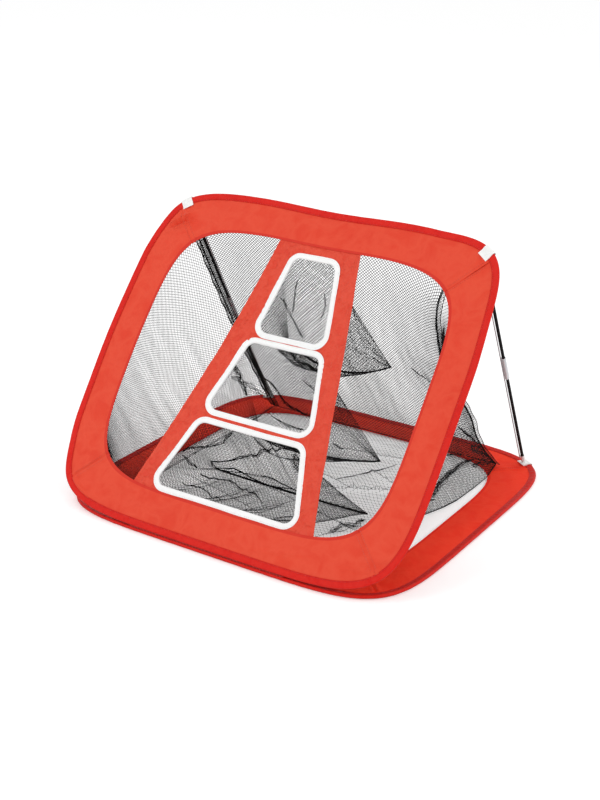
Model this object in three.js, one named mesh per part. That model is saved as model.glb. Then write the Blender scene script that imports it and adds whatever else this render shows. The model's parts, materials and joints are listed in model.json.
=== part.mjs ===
// A pop-up golf chipping net. A target panel leans back over a flat base panel; each is a
// fabric border stretched by a spring-steel hoop, and they are hinged along the front edge.
// Two jointed rods prop the panel up at the back corners. Behind the panel hang three net
// pockets, one for each target hole, and one large catch net.
//
// Millimetres. +X is right, +Y is back, +Z is up and the floor is Z = 0. Inside the functions
// Y = 0 is the front edge of the base; the last lines move the origin to the middle of the base.
//
// A panel is drawn in its own frame: x across, y up the panel from its front edge, z along
// its normal, with its hoop in the plane z = hoopLevel.

import * as THREE from 'three';

// ---- target panel ----
const panelHalfWidth = 340;
const panelLength = 598;
const panelCorner = 5.85; // superellipse exponent of the outline: higher is squarer
const panelAngle = 51.3; // degrees above the floor, in use
const windowHalfWidth = 275;
const windowHalfLength = 232.5;
const windowCorner = 4.9;

// ---- base panel ----
const baseHalfWidth = 334;
const baseDepth = 621;
const baseCorner = 5.8;
const openingHalfWidth = 266;
const openingHalfDepth = 244;
const openingCorner = 5;

// ---- hoops and cloth ----
const hoopRadius = 2;
const sleeveWidth = 12; // from the outer edge to the stitch line
const sleeveCloth = 0.7;
const borderCloth = 1;
const clearance = 0.3; // between touching pieces
const hingeCordRadius = 0.9;
const hingeHalfLength = 150;

// ---- target strip, from its foot at the window's lower edge ----
const stripTopHalfWidth = 77;
const stripBottomHalfWidth = 178;
const footMargin = 8.5; // window edge to the lowest hole
const headMargin = 23.5; // highest hole to the window edge
const lowHoleHeight = 124;
const middleHoleHeight = 129;
const lowHoleGap = 23; // cloth between the low and the middle hole
const topHoleGap = 18.5;
const holeCornerRadius = 15;
const holeHalfWidths = { low: [138.5, 99], middle: [101, 68.5], top: [65.5, 40.5] }; // foot, head
const trimWidth = 8.5; // of the white binding, over the strip
const trimFold = 1; // of the binding, inside the hole
const trimCloth = 0.5;

// ---- pockets: the hem along the back of each one ----
const pocketHemHalfWidths = { low: 155, middle: 125, top: 105 };
const pocketHemHeights = { low: 9, middle: 66, top: 213 };
const lowHemBack = 245; // behind the front edge
const middleHemBack = 335;
const topHemClearance = 20; // in front of the catch net
const pocketCloth = 1.5;
const pocketSag = 7;
const hemThickness = 3;
const hemSlit = 1.2; // free height inside the hem
const hemSideShare = 0.7; // of a hole's side that runs to the hem's end; the rest turns inwards
const hemTurnIn = 0.45; // how far inwards, of the hem's half width

// ---- catch net ----
const netSideGap = 30; // between the net and the base opening's sides
const netCloth = 1.2;
const netOverlap = 8; // sewn behind the window's edge
const netFootOverlap = 5; // and behind its lower edge
const netSag = 30; // of the back sheet, forwards
const seamWidth = 10;
const netFloorLow = 1.8; // height of the sheet on the floor, inside the base opening
const netFloorHigh = 5; // and where it lies on the base border
const netBackInset = 3; // the back sheet's foot, from the base opening's edge
const netBackLap = 4; // of the floor sheet, past that foot
const netCornerRoom = 50; // from the opening's edges to its full width, where the net drops to the floor
const netRamp = 8; // half the length of that drop
const netFrontLap = 42; // of the floor sheet, in front of the drop
const apronHeight = 30; // where the front sheet turns down to the floor sheet
const apronBow = 4;
const sideNetLift = 2; // foot of a side sheet over the floor sheet's front edge
const sideNetInset = 8; // and in front of the back sheet
const firstThread = 0.05; // share of the window's side below a side sheet

// ---- rods ----
const tabAngle = 56; // where the corner tabs sit: direction of the outline's normal, in degrees
const tabWidth = 20;
const tabReach = 14; // from the hoop's middle inwards
const tabCloth = 0.8;
const tabSlack = 1; // room for the hoop's bend inside the folded tab
const rodRadius = 2.7;
const rodBore = 1.3;
const rodJointLength = 50;
const rodJointWall = 1;
const shockCordRadius = 0.95;
const capWall = 0.7;
const capLength = 14;
const rodFootInset = 9; // pivot to the hoop's middle, on the base
const rodHeadInset = 8; // rod end to the hoop's middle, on the target panel
const rodHeadRoom = 2.8; // between the rod end and the tab, so that the rod can swing out
const rodGap = 2; // between the two halves, inside the joint
const elasticRadius = 1.2;
const elasticInset = 4; // from the rod's ends

// ---- how finely round things are cut ----
const stepsPerHalfSide = 6;
const cornerCrowding = 2.4; // 1 spreads the steps evenly over an outline's turn
const cornerSteps = 4;
const noseSteps = 4;
const netColumns = 6;
const netOpenings = 8; // across the back sheet and down it, and along a side sheet
const sideOpenings = 6; // down a side sheet
const netBarShare = 0.2; // of an opening's width
const pocketRings = 5;
const roundSides = 12;
const cordSides = 8;

// ================================ values worked out from these ================================

const sleeveBore = hoopRadius + clearance;
const sleeveRadius = sleeveBore + sleeveCloth;
const hoopLevel = sleeveRadius;
const lipInner = borderCloth / 2 + clearance;
const lipOuter = lipInner + sleeveCloth;
const angle = THREE.MathUtils.degToRad(panelAngle);
const hingeZ = 2 * sleeveRadius + clearance + hingeCordRadius;
// far enough back for the leaning hoop to stay behind the front edge of the base
const hingeY = sleeveRadius * (1 + Math.sin(angle) - Math.cos(angle));
const panelMiddle = panelLength / 2;
const baseMiddle = baseDepth / 2;
const windowFoot = panelMiddle - windowHalfLength;
const windowHead = panelMiddle + windowHalfLength;
const rodFit = rodRadius + clearance; // bore of the joint and of the caps
const jointRadius = rodFit + rodJointWall;
const capRadius = rodFit + capWall;
const tabTop = sleeveRadius + clearance + tabCloth;

// A point of the target panel's own frame, in the whole net's frame.
function onPanel(x, y, z) {
  return new THREE.Vector3(
    x,
    hingeY + y * Math.cos(angle) - z * Math.sin(angle),
    hingeZ + y * Math.sin(angle) + z * Math.cos(angle),
  );
}

// ================================ geometry helpers ================================

// A closed body from its points and triangles, turned so that its faces point outwards.
function solid(points, triangles) {
  const geometry = new THREE.BufferGeometry();
  const numbers = points.flatMap((p) => [p.x, p.y, p.z]);
  geometry.setAttribute('position', new THREE.Float32BufferAttribute(numbers, 3));
  const volume = triangles.reduce(
    (sum, [a, b, c]) => sum + points[a].dot(new THREE.Vector3().crossVectors(points[b], points[c])),
    0,
  );
  geometry.setIndex((volume < 0 ? triangles.map(([a, b, c]) => [a, c, b]) : triangles).flat());
  geometry.computeVertexNormals();
  return geometry;
}

// Two triangles for each cell of a grid whose rows and columns may close on themselves.
function gridTriangles(rows, columns, closeRows, closeColumns, at = (i, j) => i * columns + j) {
  const triangles = [];
  for (let i = 0; i < (closeRows ? rows : rows - 1); i++) {
    for (let j = 0; j < (closeColumns ? columns : columns - 1); j++) {
      const i1 = (i + 1) % rows;
      const j1 = (j + 1) % columns;
      triangles.push([at(i, j), at(i1, j), at(i1, j1)], [at(i, j), at(i1, j1), at(i, j1)]);
    }
  }
  return triangles;
}

// A section, as [outward, up] pairs, swept round a closed flat outline.
function ring(outline, section, level) {
  const points = outline.flatMap(({ x, y, nx, ny }) =>
    section.map(([out, up]) => new THREE.Vector3(x + nx * out, y + ny * out, level + up)),
  );
  return solid(points, gridTriangles(outline.length, section.length, true, true));
}

// A thin sheet of even thickness about a grid of points. Where isOpen says so, a cell is an opening.
function sheet(grid, thickness, isOpen = () => false) {
  const rows = grid.length;
  const columns = grid[0].length;
  const normalAt = (i, j) => {
    const along = grid[Math.min(i + 1, rows - 1)][j].clone().sub(grid[Math.max(i - 1, 0)][j]);
    const across = grid[i][Math.min(j + 1, columns - 1)].clone().sub(grid[i][Math.max(j - 1, 0)]);
    return along.cross(across).normalize();
  };
  const layer = (side) =>
    grid.flatMap((row, i) =>
      row.map((p, j) => p.clone().addScaledVector(normalAt(i, j), (side * thickness) / 2)),
    );
  const cellOf = (n) => [Math.floor(n / 2 / (columns - 1)), Math.floor(n / 2) % (columns - 1)];
  const front = gridTriangles(rows, columns, false, false).filter((_, n) => !isOpen(...cellOf(n)));
  const back = front.map((t) => [t[0], t[2], t[1]].map((k) => k + rows * columns));
  const wall = (loop) =>
    loop.flatMap((k, n) => {
      const next = loop[(n + 1) % loop.length];
      return [
        [k, next, next + rows * columns],
        [k, next + rows * columns, k + rows * columns],
      ];
    });
  const openingWalls = [];
  for (let i = 0; i < rows - 1; i++) {
    for (let j = 0; j < columns - 1; j++) {
      const k = i * columns + j;
      if (isOpen(i, j)) openingWalls.push(...wall([k, k + columns, k + columns + 1, k + 1]));
    }
  }
  const border = [];
  for (let j = 0; j < columns; j++) border.push(j);
  for (let i = 1; i < rows; i++) border.push(i * columns + columns - 1);
  for (let j = columns - 2; j >= 0; j--) border.push((rows - 1) * columns + j);
  for (let i = rows - 2; i > 0; i--) border.push(i * columns);
  return solid([...layer(1), ...layer(-1)], [...front, ...back, ...wall(border), ...openingWalls]);
}

// Where the lines of a coarse net lie, as shares of its side: a bar, an opening, a bar and so on.
function netLines(openings) {
  const whole = openings + (openings + 1) * netBarShare;
  return Array.from({ length: 2 * openings + 2 }, (_, k) => {
    const bars = Math.ceil(k / 2);
    return (bars * netBarShare + (k - bars)) / whole;
  });
}

const coarseNet = (grid) => sheet(grid, netCloth, (i, j) => i % 2 === 1 && j % 2 === 1);

// The point of a superellipse where its outward normal has the given direction.
function superellipseAt(halfX, halfY, exponent, direction, middleY) {
  const nx = Math.cos(direction);
  const ny = Math.sin(direction);
  const power = exponent / (exponent - 1);
  const size = (Math.abs(halfX * nx) ** power + Math.abs(halfY * ny) ** power) ** (1 / exponent);
  const along = (half, n) => (half * Math.sign(n) * Math.abs(half * n) ** (1 / (exponent - 1))) / size;
  return { x: along(halfX, nx), y: middleY + along(halfY, ny), nx, ny };
}

// A whole superellipse, side by side from the right; each side runs between two mitres,
// with its points crowding where the outline bends.
function superellipse(halfX, halfY, exponent, middleY) {
  const sides = [0, 1, 2, 3].map((side) => {
    const points = [];
    for (let k = -stepsPerHalfSide; k <= stepsPerHalfSide; k++) {
      const share = k / stepsPerHalfSide;
      const turn = (Math.PI / 4) * Math.sign(share) * Math.abs(share) ** cornerCrowding;
      points.push(superellipseAt(halfX, halfY, exponent, (side * Math.PI) / 2 + turn, middleY));
    }
    return points;
  });
  return { sides, loop: sides.flatMap((points) => points.slice(0, -1)) };
}

const offset = (points, out) =>
  points.map(({ x, y, nx, ny }) => ({ x: x + nx * out, y: y + ny * out, nx, ny }));

// A flat piece between z = level - thickness / 2 and level + thickness / 2.
function plate(contour, thickness, level, holes = []) {
  const shape = new THREE.Shape(contour.map(({ x, y }) => new THREE.Vector2(x, y)));
  shape.holes = holes.map((hole) => new THREE.Path(hole.map(({ x, y }) => new THREE.Vector2(x, y))));
  const geometry = new THREE.ExtrudeGeometry(shape, { depth: thickness, bevelEnabled: false });
  return geometry.translate(0, 0, level - thickness / 2);
}

// A trapezoid standing on its foot, with round corners and outward normals.
function trapezoid(foot, head, footHalf, headHalf, radius) {
  const corners = [
    [footHalf, foot],
    [headHalf, head],
    [-headHalf, head],
    [-footHalf, foot],
  ];
  return corners.flatMap(([x, y], k) => {
    const toward = (other) => new THREE.Vector2(other[0] - x, other[1] - y).normalize();
    const before = toward(corners[(k + 3) % 4]);
    const after = toward(corners[(k + 1) % 4]);
    const half = Math.acos(before.dot(after)) / 2;
    const middle = before.clone().add(after).normalize().multiplyScalar(radius / Math.sin(half));
    const start = Math.atan2(-before.x, before.y) + Math.PI; // outward normal of the edge before the corner
    const bend = Math.PI - 2 * half;
    return Array.from({ length: cornerSteps + 1 }, (_, i) => {
      const direction = start + (bend * i) / cornerSteps;
      const nx = Math.cos(direction);
      const ny = Math.sin(direction);
      return { x: x + middle.x + radius * nx, y: y + middle.y + radius * ny, nx, ny };
    });
  });
}

// A round body about Z from a profile of [radius, height] pairs.
function turned(profile, sides) {
  const points = profile.map(([radius, height]) => new THREE.Vector2(radius, height));
  return new THREE.LatheGeometry(points, sides).rotateX(Math.PI / 2);
}

const tube = (outer, inner, from, to, sides) =>
  turned([[inner, from], [outer, from], [outer, to], [inner, to], [inner, from]], sides);

const bar = (radius, from, to, sides) => turned([[0, from], [radius, from], [radius, to], [0, to]], sides);

// ================================ materials ================================

const finish = (color, roughness, metalness = 0) =>
  new THREE.MeshStandardMaterial({ color, roughness, metalness });
const materials = {
  cloth: finish(0xe24a36, 0.7),
  sleeve: finish(0xcc3328, 0.7),
  webbing: finish(0xf2f2ee, 0.8),
  net: finish(0x16161a, 0.85),
  steel: finish(0x9a9da1, 0.4, 1),
  rod: finish(0x0e0e10, 0.35),
  joint: finish(0xd2d4d6, 0.35, 0.6),
  cap: finish(0xe6e6e4, 0.5),
  cord: finish(0xe9e9ea, 0.85),
};

function add(parent, name, geometry, material) {
  const mesh = new THREE.Mesh(geometry, material);
  mesh.name = name;
  parent.add(mesh);
  return mesh;
}

// ================================ hoop, sleeve, border and corner tabs ================================

// The sleeve is one folded cloth: round the hoop, then two lips that hold the border's edge.
// It stands flat on its underside.
function sleeveSection() {
  const flat = sleeveRadius * Math.tan(Math.PI / 8);
  const flatInside = sleeveBore * Math.tan(Math.PI / 8);
  const lipEnd = sleeveRadius - sleeveWidth;
  const outside = [
    [lipEnd, lipOuter],
    [-sleeveRadius, lipOuter],
    [-flat, sleeveRadius],
    [flat, sleeveRadius],
    [sleeveRadius, flat],
  ];
  const inside = [
    [lipEnd, lipInner],
    [-sleeveBore, lipInner],
    [-flatInside, sleeveBore],
    [flatInside, sleeveBore],
    [sleeveBore, flatInside],
  ];
  const below = (points) => points.map(([out, up]) => [out, -up]).reverse();
  return [...outside, ...below(outside), ...inside.map(([out, up]) => [out, -up]), ...[...inside].reverse()];
}

function hoopSection() {
  return Array.from({ length: cordSides }, (_, k) => {
    const turn = ((k + 0.5) * 2 * Math.PI) / cordSides;
    return [hoopRadius * Math.cos(turn), hoopRadius * Math.sin(turn)];
  });
}

// The four border cloths meet at the mitres, a seam's clearance apart.
function borderPiece(outside, inside) {
  const contour = [...offset(outside, -sleeveRadius - clearance), ...[...inside].reverse()];
  const last = contour.length - 1;
  const trim = (index, from) => {
    const point = contour[index];
    const neighbour = contour[from];
    const length = Math.hypot(neighbour.x - point.x, neighbour.y - point.y);
    const share = clearance / length;
    contour[index] = {
      ...point,
      x: point.x + (neighbour.x - point.x) * share,
      y: point.y + (neighbour.y - point.y) * share,
    };
  };
  trim(0, 1);
  trim(outside.length - 1, outside.length - 2);
  trim(outside.length, outside.length + 1);
  trim(last, last - 1);
  return plate(contour, borderCloth, hoopLevel);
}

// A strip of webbing folded over the edge, with a thick pad on the face that the rod stands
// against: the upper face of the base (side +1), the back of the target panel (-1). On the base
// it ends at the edge's lower corner, so that the hoop still lies flat on the floor.
function tabGeometry(place, side) {
  const bend = sleeveRadius * Math.tan(Math.PI / 8) + tabSlack / 2;
  const nose = sleeveRadius + tabSlack;
  const innerBend = bend + tabSlack; // the hoop curves inwards under the tab's two ends
  const root = sleeveRadius + 2 * tabSlack;
  const lip = lipOuter + clearance;
  const crown = sleeveRadius + clearance;
  const outer = crown + tabCloth;
  const pad = [
    [-tabReach, outer],
    [bend, outer],
    [nose + tabCloth, bend],
    [nose + tabCloth, -bend],
  ];
  const flap = [
    [bend, -outer],
    [-innerBend, -outer],
    [-root, -lip - tabCloth],
    [-tabReach, -lip - tabCloth],
    [-tabReach, -lip],
    [-root, -lip],
    [-innerBend, -crown],
    [bend, -crown],
  ];
  const inside = [
    [nose, -bend],
    [nose, bend],
    [bend, crown],
    [-innerBend, crown],
    [-root, lip],
    [-tabReach, lip],
  ];
  const contour = [...pad, ...(side < 0 ? flap : []), ...inside];
  const shape = new THREE.Shape(contour.map(([out, up]) => new THREE.Vector2(out, side * up)));
  const geometry = new THREE.ExtrudeGeometry(shape, { depth: tabWidth, bevelEnabled: false });
  geometry.translate(0, 0, -tabWidth / 2);
  const outward = new THREE.Vector3(place.nx, place.ny, 0);
  const up = new THREE.Vector3(0, 0, 1);
  const frame = new THREE.Matrix4().makeBasis(outward, up, outward.clone().cross(up));
  frame.setPosition(place.x, place.y, hoopLevel);
  return geometry.applyMatrix4(frame);
}

const tabPlaces = (halfWidth, halfLength, exponent, middleY) =>
  [
    ['left', 180 - tabAngle],
    ['right', tabAngle],
  ].map(([name, degrees]) => {
    const direction = THREE.MathUtils.degToRad(degrees);
    const halves = [halfWidth - sleeveRadius, halfLength - sleeveRadius];
    return [name, superellipseAt(...halves, exponent, direction, middleY)];
  });

function hoopPanel(parent, prefix, sizes, sideNames, tabSide) {
  const { halfWidth, halfLength, corner, holeHalfWidth, holeHalfLength, holeCorner } = sizes;
  const hoop = superellipse(halfWidth - sleeveRadius, halfLength - sleeveRadius, corner, halfLength);
  const hole = superellipse(holeHalfWidth, holeHalfLength, holeCorner, halfLength);
  add(parent, `${prefix}_hoop`, ring(hoop.loop, hoopSection(), hoopLevel), materials.steel);
  add(parent, `${prefix}_edge_sleeve`, ring(hoop.loop, sleeveSection(), hoopLevel), materials.sleeve);
  sideNames.forEach((name, side) => {
    const cloth = borderPiece(hoop.sides[side], hole.sides[side]);
    add(parent, `${prefix}_border_${name}`, cloth, materials.cloth);
  });
  for (const [name, place] of tabPlaces(halfWidth, halfLength, corner, halfLength)) {
    add(parent, `${prefix}_tab_${name}`, tabGeometry(place, tabSide), materials.webbing);
  }
  return hole;
}

// ================================ target strip ================================

const lowHoleFoot = windowFoot + footMargin;
const middleHoleFoot = lowHoleFoot + lowHoleHeight + lowHoleGap;
const topHoleFoot = middleHoleFoot + middleHoleHeight + topHoleGap;
const holePlaces = {
  low: [lowHoleFoot, lowHoleFoot + lowHoleHeight],
  middle: [middleHoleFoot, middleHoleFoot + middleHoleHeight],
  top: [topHoleFoot, windowHead - headMargin],
};

const holeContour = (name) => trapezoid(...holePlaces[name], ...holeHalfWidths[name], holeCornerRadius);

// The strip's ends follow the window's edge, so they are cut along its chords.
function stripGeometry(windowLoop) {
  const sorted = (points) => points.toSorted((p, q) => p.x - q.x);
  const edges = { foot: sorted(windowLoop.sides[3]), head: sorted(windowLoop.sides[1]) };
  const edgeY = (x, chain) => {
    const next = Math.max(1, chain.findIndex((p) => p.x >= x));
    const [a, b] = [chain[next - 1], chain[next]];
    return a.y + ((b.y - a.y) * (x - a.x)) / (b.x - a.x);
  };
  const end = (half, chain, gap) => {
    const inner = chain.map((p) => p.x).filter((x) => Math.abs(x) < half);
    return [-half, ...inner, half].map((x) => ({ x, y: edgeY(x, chain) + gap }));
  };
  const foot = end(stripBottomHalfWidth, edges.foot, clearance);
  const head = end(stripTopHalfWidth, edges.head, -clearance);
  const contour = [...foot, ...head.reverse()];
  const holes = Object.keys(holePlaces).map((name) => holeContour(name));
  return plate(contour, borderCloth, hoopLevel, holes);
}

// The binding is folded over the hole's edge, so it grips the strip from both faces.
function trimSection() {
  const outer = lipInner + trimCloth;
  const bottom = [
    [-trimFold, -outer],
    [trimWidth, -outer],
    [trimWidth, -lipInner],
    [trimCloth - trimFold, -lipInner],
  ];
  return [...bottom, ...bottom.map(([out, up]) => [out, -up]).reverse()];
}

// ================================ nets ================================

const netLevel = hoopLevel - lipInner - netCloth / 2;
const windowAt = (direction) =>
  superellipseAt(windowHalfWidth, windowHalfLength, windowCorner, direction, panelMiddle);
const netHalfWidth = openingHalfWidth - netSideGap;
const netFoot = windowFoot - netFootOverlap;
const netBackY = baseMiddle + openingHalfDepth - netBackInset;
const frontDropY = baseMiddle - openingHalfDepth + netCornerRoom; // the floor sheet, off the base border
const backDropY = baseMiddle + openingHalfDepth - netCornerRoom;
const netFrontY = frontDropY - netFrontLap;
const onNetHigh = netFloorHigh + netCloth + clearance; // resting on the floor sheet
const onNetLow = netFloorLow + netCloth + clearance;

// The back sheet, from behind the window's upper edge, which it follows, down to the back of the base.
function backPoint(x, share) {
  const toSide = Math.abs(x / windowHalfWidth) ** windowCorner;
  const windowEdge = panelMiddle + windowHalfLength * (1 - toSide) ** (1 / windowCorner);
  const foot = new THREE.Vector3(x, netBackY, onNetHigh);
  const point = onPanel(x, windowEdge + netOverlap, netLevel).lerp(foot, share);
  point.y -= netSag * 4 * share * (1 - share);
  return point;
}

function backNetY(height) {
  const [head, foot] = [backPoint(0, 0).z, backPoint(0, 1).z];
  return backPoint(0, (head - height) / (head - foot)).y;
}

const backGrid = (lowX, highX, columnShares) =>
  netLines(netOpenings).map((down) =>
    columnShares.map((share) => backPoint(THREE.MathUtils.lerp(lowX, highX, share), down)),
  );

const across = (profile, lowX, highX, columns) =>
  profile.map((p) =>
    Array.from({ length: columns + 1 }, (_, j) => {
      return new THREE.Vector3(lowX + ((highX - lowX) * j) / columns, p.y, p.z);
    }),
  );

const floorProfile = [
  [netFrontY, netFloorHigh],
  [frontDropY - netRamp, netFloorHigh],
  [frontDropY + netRamp, netFloorLow],
  [backDropY - netRamp, netFloorLow],
  [backDropY + netRamp, netFloorHigh],
  [netBackY + netBackLap, netFloorHigh],
].map(([y, z]) => new THREE.Vector3(0, y, z));

// One side of the catch net: threads from the window's side down to a foot line on the floor sheet,
// the last one along the back sheet's edge.
function sideNet(side) {
  const x = netHalfWidth + seamWidth / 2;
  const rest = 3 * clearance; // of the foot line, off the floor sheet's ramps
  const stations = [
    onPanel(0, netFoot, netLevel),
    new THREE.Vector3(0, netFrontY + apronBow, onNetHigh + sideNetLift),
    new THREE.Vector3(0, frontDropY - netRamp, onNetHigh),
    new THREE.Vector3(0, frontDropY + 1.5 * netRamp, onNetLow),
    new THREE.Vector3(0, backDropY - 1.5 * netRamp, onNetLow),
    new THREE.Vector3(0, backDropY + netRamp, onNetHigh),
    new THREE.Vector3(0, netBackY - sideNetInset, onNetHigh + rest),
  ];
  const footLine = new THREE.CurvePath();
  for (let i = 1; i < stations.length; i++) footLine.add(new THREE.LineCurve3(stations[i - 1], stations[i]));
  const grid = netLines(netOpenings).map((along) => {
    const share = THREE.MathUtils.lerp(firstThread, 1, along);
    const edge = windowAt((Math.PI / 2) * (share - 0.5));
    const reach = Math.min(windowHead, Math.max(netFoot, edge.y + netOverlap * edge.ny));
    const start = onPanel(Math.max(x, edge.x + netOverlap * edge.nx), reach, netLevel);
    const foot = footLine.getPointAt(share).setX(x);
    return netLines(sideOpenings).map((down) => {
      const point = start.clone().lerp(foot, down);
      point.x *= side;
      point.y -= netSag * 4 * down * (1 - down) * share ** 2;
      return point;
    });
  });
  return coarseNet(grid);
}

// A pocket is a sack sewn round its hole, closed at the back by a straight hem. Its inner wall
// ends two cloths short of the hem.
function pocket(name, hemBack) {
  const [foot, head] = holePlaces[name];
  const mouthMargin = 2 * pocketCloth;
  const hem = new THREE.Vector3(0, hemBack, pocketHemHeights[name]);
  const level = hoopLevel - lipInner - trimCloth - clearance;
  const middle = onPanel(0, (foot + head) / 2, level);
  const apart = hem.clone().sub(middle).normalize().cross(new THREE.Vector3(-1, 0, 0));
  const wall = (inset, hemHalf) => {
    const contour = offset(holeContour(name), mouthMargin - inset);
    const points = [];
    for (let i = 0; i <= pocketRings; i++) {
      const share = i / pocketRings;
      for (const { x, y } of contour) {
        const rise = THREE.MathUtils.clamp((y - foot) / (head - foot), 0, 1);
        const widest = THREE.MathUtils.lerp(...holeHalfWidths[name], rise) + mouthMargin;
        const turnIn = (hemTurnIn * Math.max(0, rise - hemSideShare)) / (1 - hemSideShare);
        const hemEnd = (1 - turnIn) * (pocketHemHalfWidths[name] - inset);
        const hemX = THREE.MathUtils.clamp(x / widest, -1, 1) * hemEnd;
        const lift = (Math.min(rise / hemSideShare, 1) * 2 - 1) * hemHalf;
        const end = hem.clone().setX(hemX).addScaledVector(apart, lift);
        end.lerp(middle, (inset * 2) / hem.distanceTo(middle)).setX(hemX);
        const point = onPanel(x, y, level).lerp(end, share);
        point.z -= pocketSag * 4 * share * (1 - share);
        points.push(point);
      }
    }
    return { points, count: contour.length };
  };
  const outside = wall(0, hemThickness / 2);
  const inside = wall(pocketCloth, hemSlit / 2);
  const { count } = outside;
  const total = outside.points.length;
  const last = pocketRings * count;
  const outer = gridTriangles(pocketRings + 1, count, false, true);
  const inner = outer.map((t) => [t[0], t[2], t[1]].map((k) => k + total));
  const mouth = [];
  for (let j = 0; j < count; j++) {
    const next = (j + 1) % count;
    mouth.push([j, next, next + total], [j, next + total, j + total]);
  }
  // the hem: its loop is flat and runs from one end to the other and back
  const closing = (base, flip) => {
    const shape = Array.from({ length: count }, (_, j) => {
      const point = (base ? inside : outside).points[last + j];
      return new THREE.Vector2(point.x, point.clone().sub(hem).dot(apart));
    });
    return THREE.ShapeUtils.triangulateShape(shape, []).map((t) =>
      (flip ? [t[0], t[2], t[1]] : t).map((k) => k + last + base),
    );
  };
  const caps = [...closing(0, true), ...closing(total, false)];
  return solid([...outside.points, ...inside.points], [...outer, ...inner, ...mouth, ...caps]);
}

// ================================ rods ================================

// A round nose, centred on the rod's end point, and a socket for the rod.
function cap() {
  const profile = [[0, -capRadius]];
  for (let k = 1; k < noseSteps; k++) {
    const turn = (k * Math.PI) / (2 * noseSteps);
    profile.push([capRadius * Math.sin(turn), -capRadius * Math.cos(turn)]);
  }
  profile.push([capRadius, 0], [capRadius, capLength]);
  profile.push([rodFit, capLength], [rodFit, capRadius], [0, capRadius]);
  return turned(profile, roundSides);
}

// Drawn upright from its foot, then laid between the two corner tabs. The shock cord runs
// through both halves from cap to cap; the elastic that ties the rod to the net lies beside it.
function rod(side, foot, head, parent) {
  const name = side < 0 ? 'left' : 'right';
  const length = foot.distanceTo(head);
  const middle = length / 2;
  const start = capRadius + clearance;
  const group = new THREE.Group();
  group.position.copy(foot);
  group.quaternion.setFromUnitVectors(new THREE.Vector3(0, 0, 1), head.clone().sub(foot).normalize());
  parent.add(group);

  const lower = tube(rodRadius, rodBore, start, middle - rodGap / 2, roundSides);
  const upper = tube(rodRadius, rodBore, middle + rodGap / 2, length - start, roundSides);
  const jointHalf = rodJointLength / 2;
  const joint = tube(jointRadius, rodFit, middle - jointHalf, middle + jointHalf, roundSides);
  add(group, `rod_lower_${name}`, lower, materials.rod);
  add(group, `rod_upper_${name}`, upper, materials.rod);
  add(group, `rod_joint_${name}`, joint, materials.joint);
  add(group, `shock_cord_${name}`, bar(shockCordRadius, start, length - start, cordSides), materials.cord);
  add(group, `rod_cap_lower_${name}`, cap(), materials.cap);
  const upperCap = add(group, `rod_cap_upper_${name}`, cap(), materials.cap);
  upperCap.position.z = length;
  upperCap.rotation.x = Math.PI;

  const beside = jointRadius + clearance + elasticRadius;
  const inwards = new THREE.Vector3(-side, 0, 0).applyQuaternion(group.quaternion.clone().invert());
  inwards.setZ(0).setLength(beside);
  const elastic = bar(elasticRadius, elasticInset, length - elasticInset, cordSides);
  add(group, `rod_elastic_${name}`, elastic.translate(inwards.x, inwards.y, 0), materials.cord);
}

// ================================ assembly ================================

const chippingNet = new THREE.Group();
const whole = new THREE.Group();
whole.position.y = -baseMiddle;
chippingNet.add(whole);

const base = new THREE.Group();
whole.add(base);
hoopPanel(
  base,
  'base',
  {
    halfWidth: baseHalfWidth,
    halfLength: baseMiddle,
    corner: baseCorner,
    holeHalfWidth: openingHalfWidth,
    holeHalfLength: openingHalfDepth,
    holeCorner: openingCorner,
  },
  ['right', 'back', 'left', 'front'],
  1,
);
const hingeCord = bar(hingeCordRadius, -hingeHalfLength, hingeHalfLength, cordSides).rotateY(Math.PI / 2);
add(base, 'hinge_cord', hingeCord.translate(0, hingeY, hingeZ), materials.sleeve);

const panel = new THREE.Group();
panel.position.set(0, hingeY, hingeZ);
panel.rotation.x = angle;
whole.add(panel);
const windowLoop = hoopPanel(
  panel,
  'panel',
  {
    halfWidth: panelHalfWidth,
    halfLength: panelMiddle,
    corner: panelCorner,
    holeHalfWidth: windowHalfWidth,
    holeHalfLength: windowHalfLength,
    holeCorner: windowCorner,
  },
  ['right', 'top', 'left', 'bottom'],
  -1,
);
add(panel, 'target_strip', stripGeometry(windowLoop), materials.cloth);
for (const name of Object.keys(holePlaces)) {
  add(panel, `hole_trim_${name}`, ring(holeContour(name), trimSection(), hoopLevel), materials.webbing);
}

const hemBacks = {
  low: lowHemBack,
  middle: middleHemBack,
  top: backNetY(pocketHemHeights.top) - topHemClearance,
};
for (const [name, hemBack] of Object.entries(hemBacks)) {
  add(whole, `pocket_net_${name}`, pocket(name, hemBack), materials.net);
}
const apronProfile = [
  onPanel(0, netFoot, netLevel),
  new THREE.Vector3(0, netFrontY - apronBow / 2, apronHeight),
  new THREE.Vector3(0, netFrontY + apronBow / 2, onNetHigh),
];
const backSheet = coarseNet(backGrid(-netHalfWidth, netHalfWidth, netLines(netOpenings)));
add(whole, 'net_back', backSheet, materials.net);
for (const [name, profile] of [
  ['net_floor', floorProfile],
  ['net_front', apronProfile],
]) {
  add(whole, name, sheet(across(profile, -netHalfWidth, netHalfWidth, netColumns), netCloth), materials.net);
}
for (const [name, side] of [
  ['left', -1],
  ['right', 1],
]) {
  const inner = side * (netHalfWidth + clearance);
  const outer = side * (netHalfWidth + clearance + seamWidth);
  const seam = backGrid(Math.min(inner, outer), Math.max(inner, outer), [0, 1]);
  add(whole, `net_side_${name}`, sideNet(side), materials.net);
  add(whole, `net_seam_${name}`, sheet(seam, netCloth), materials.net);
}

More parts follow.
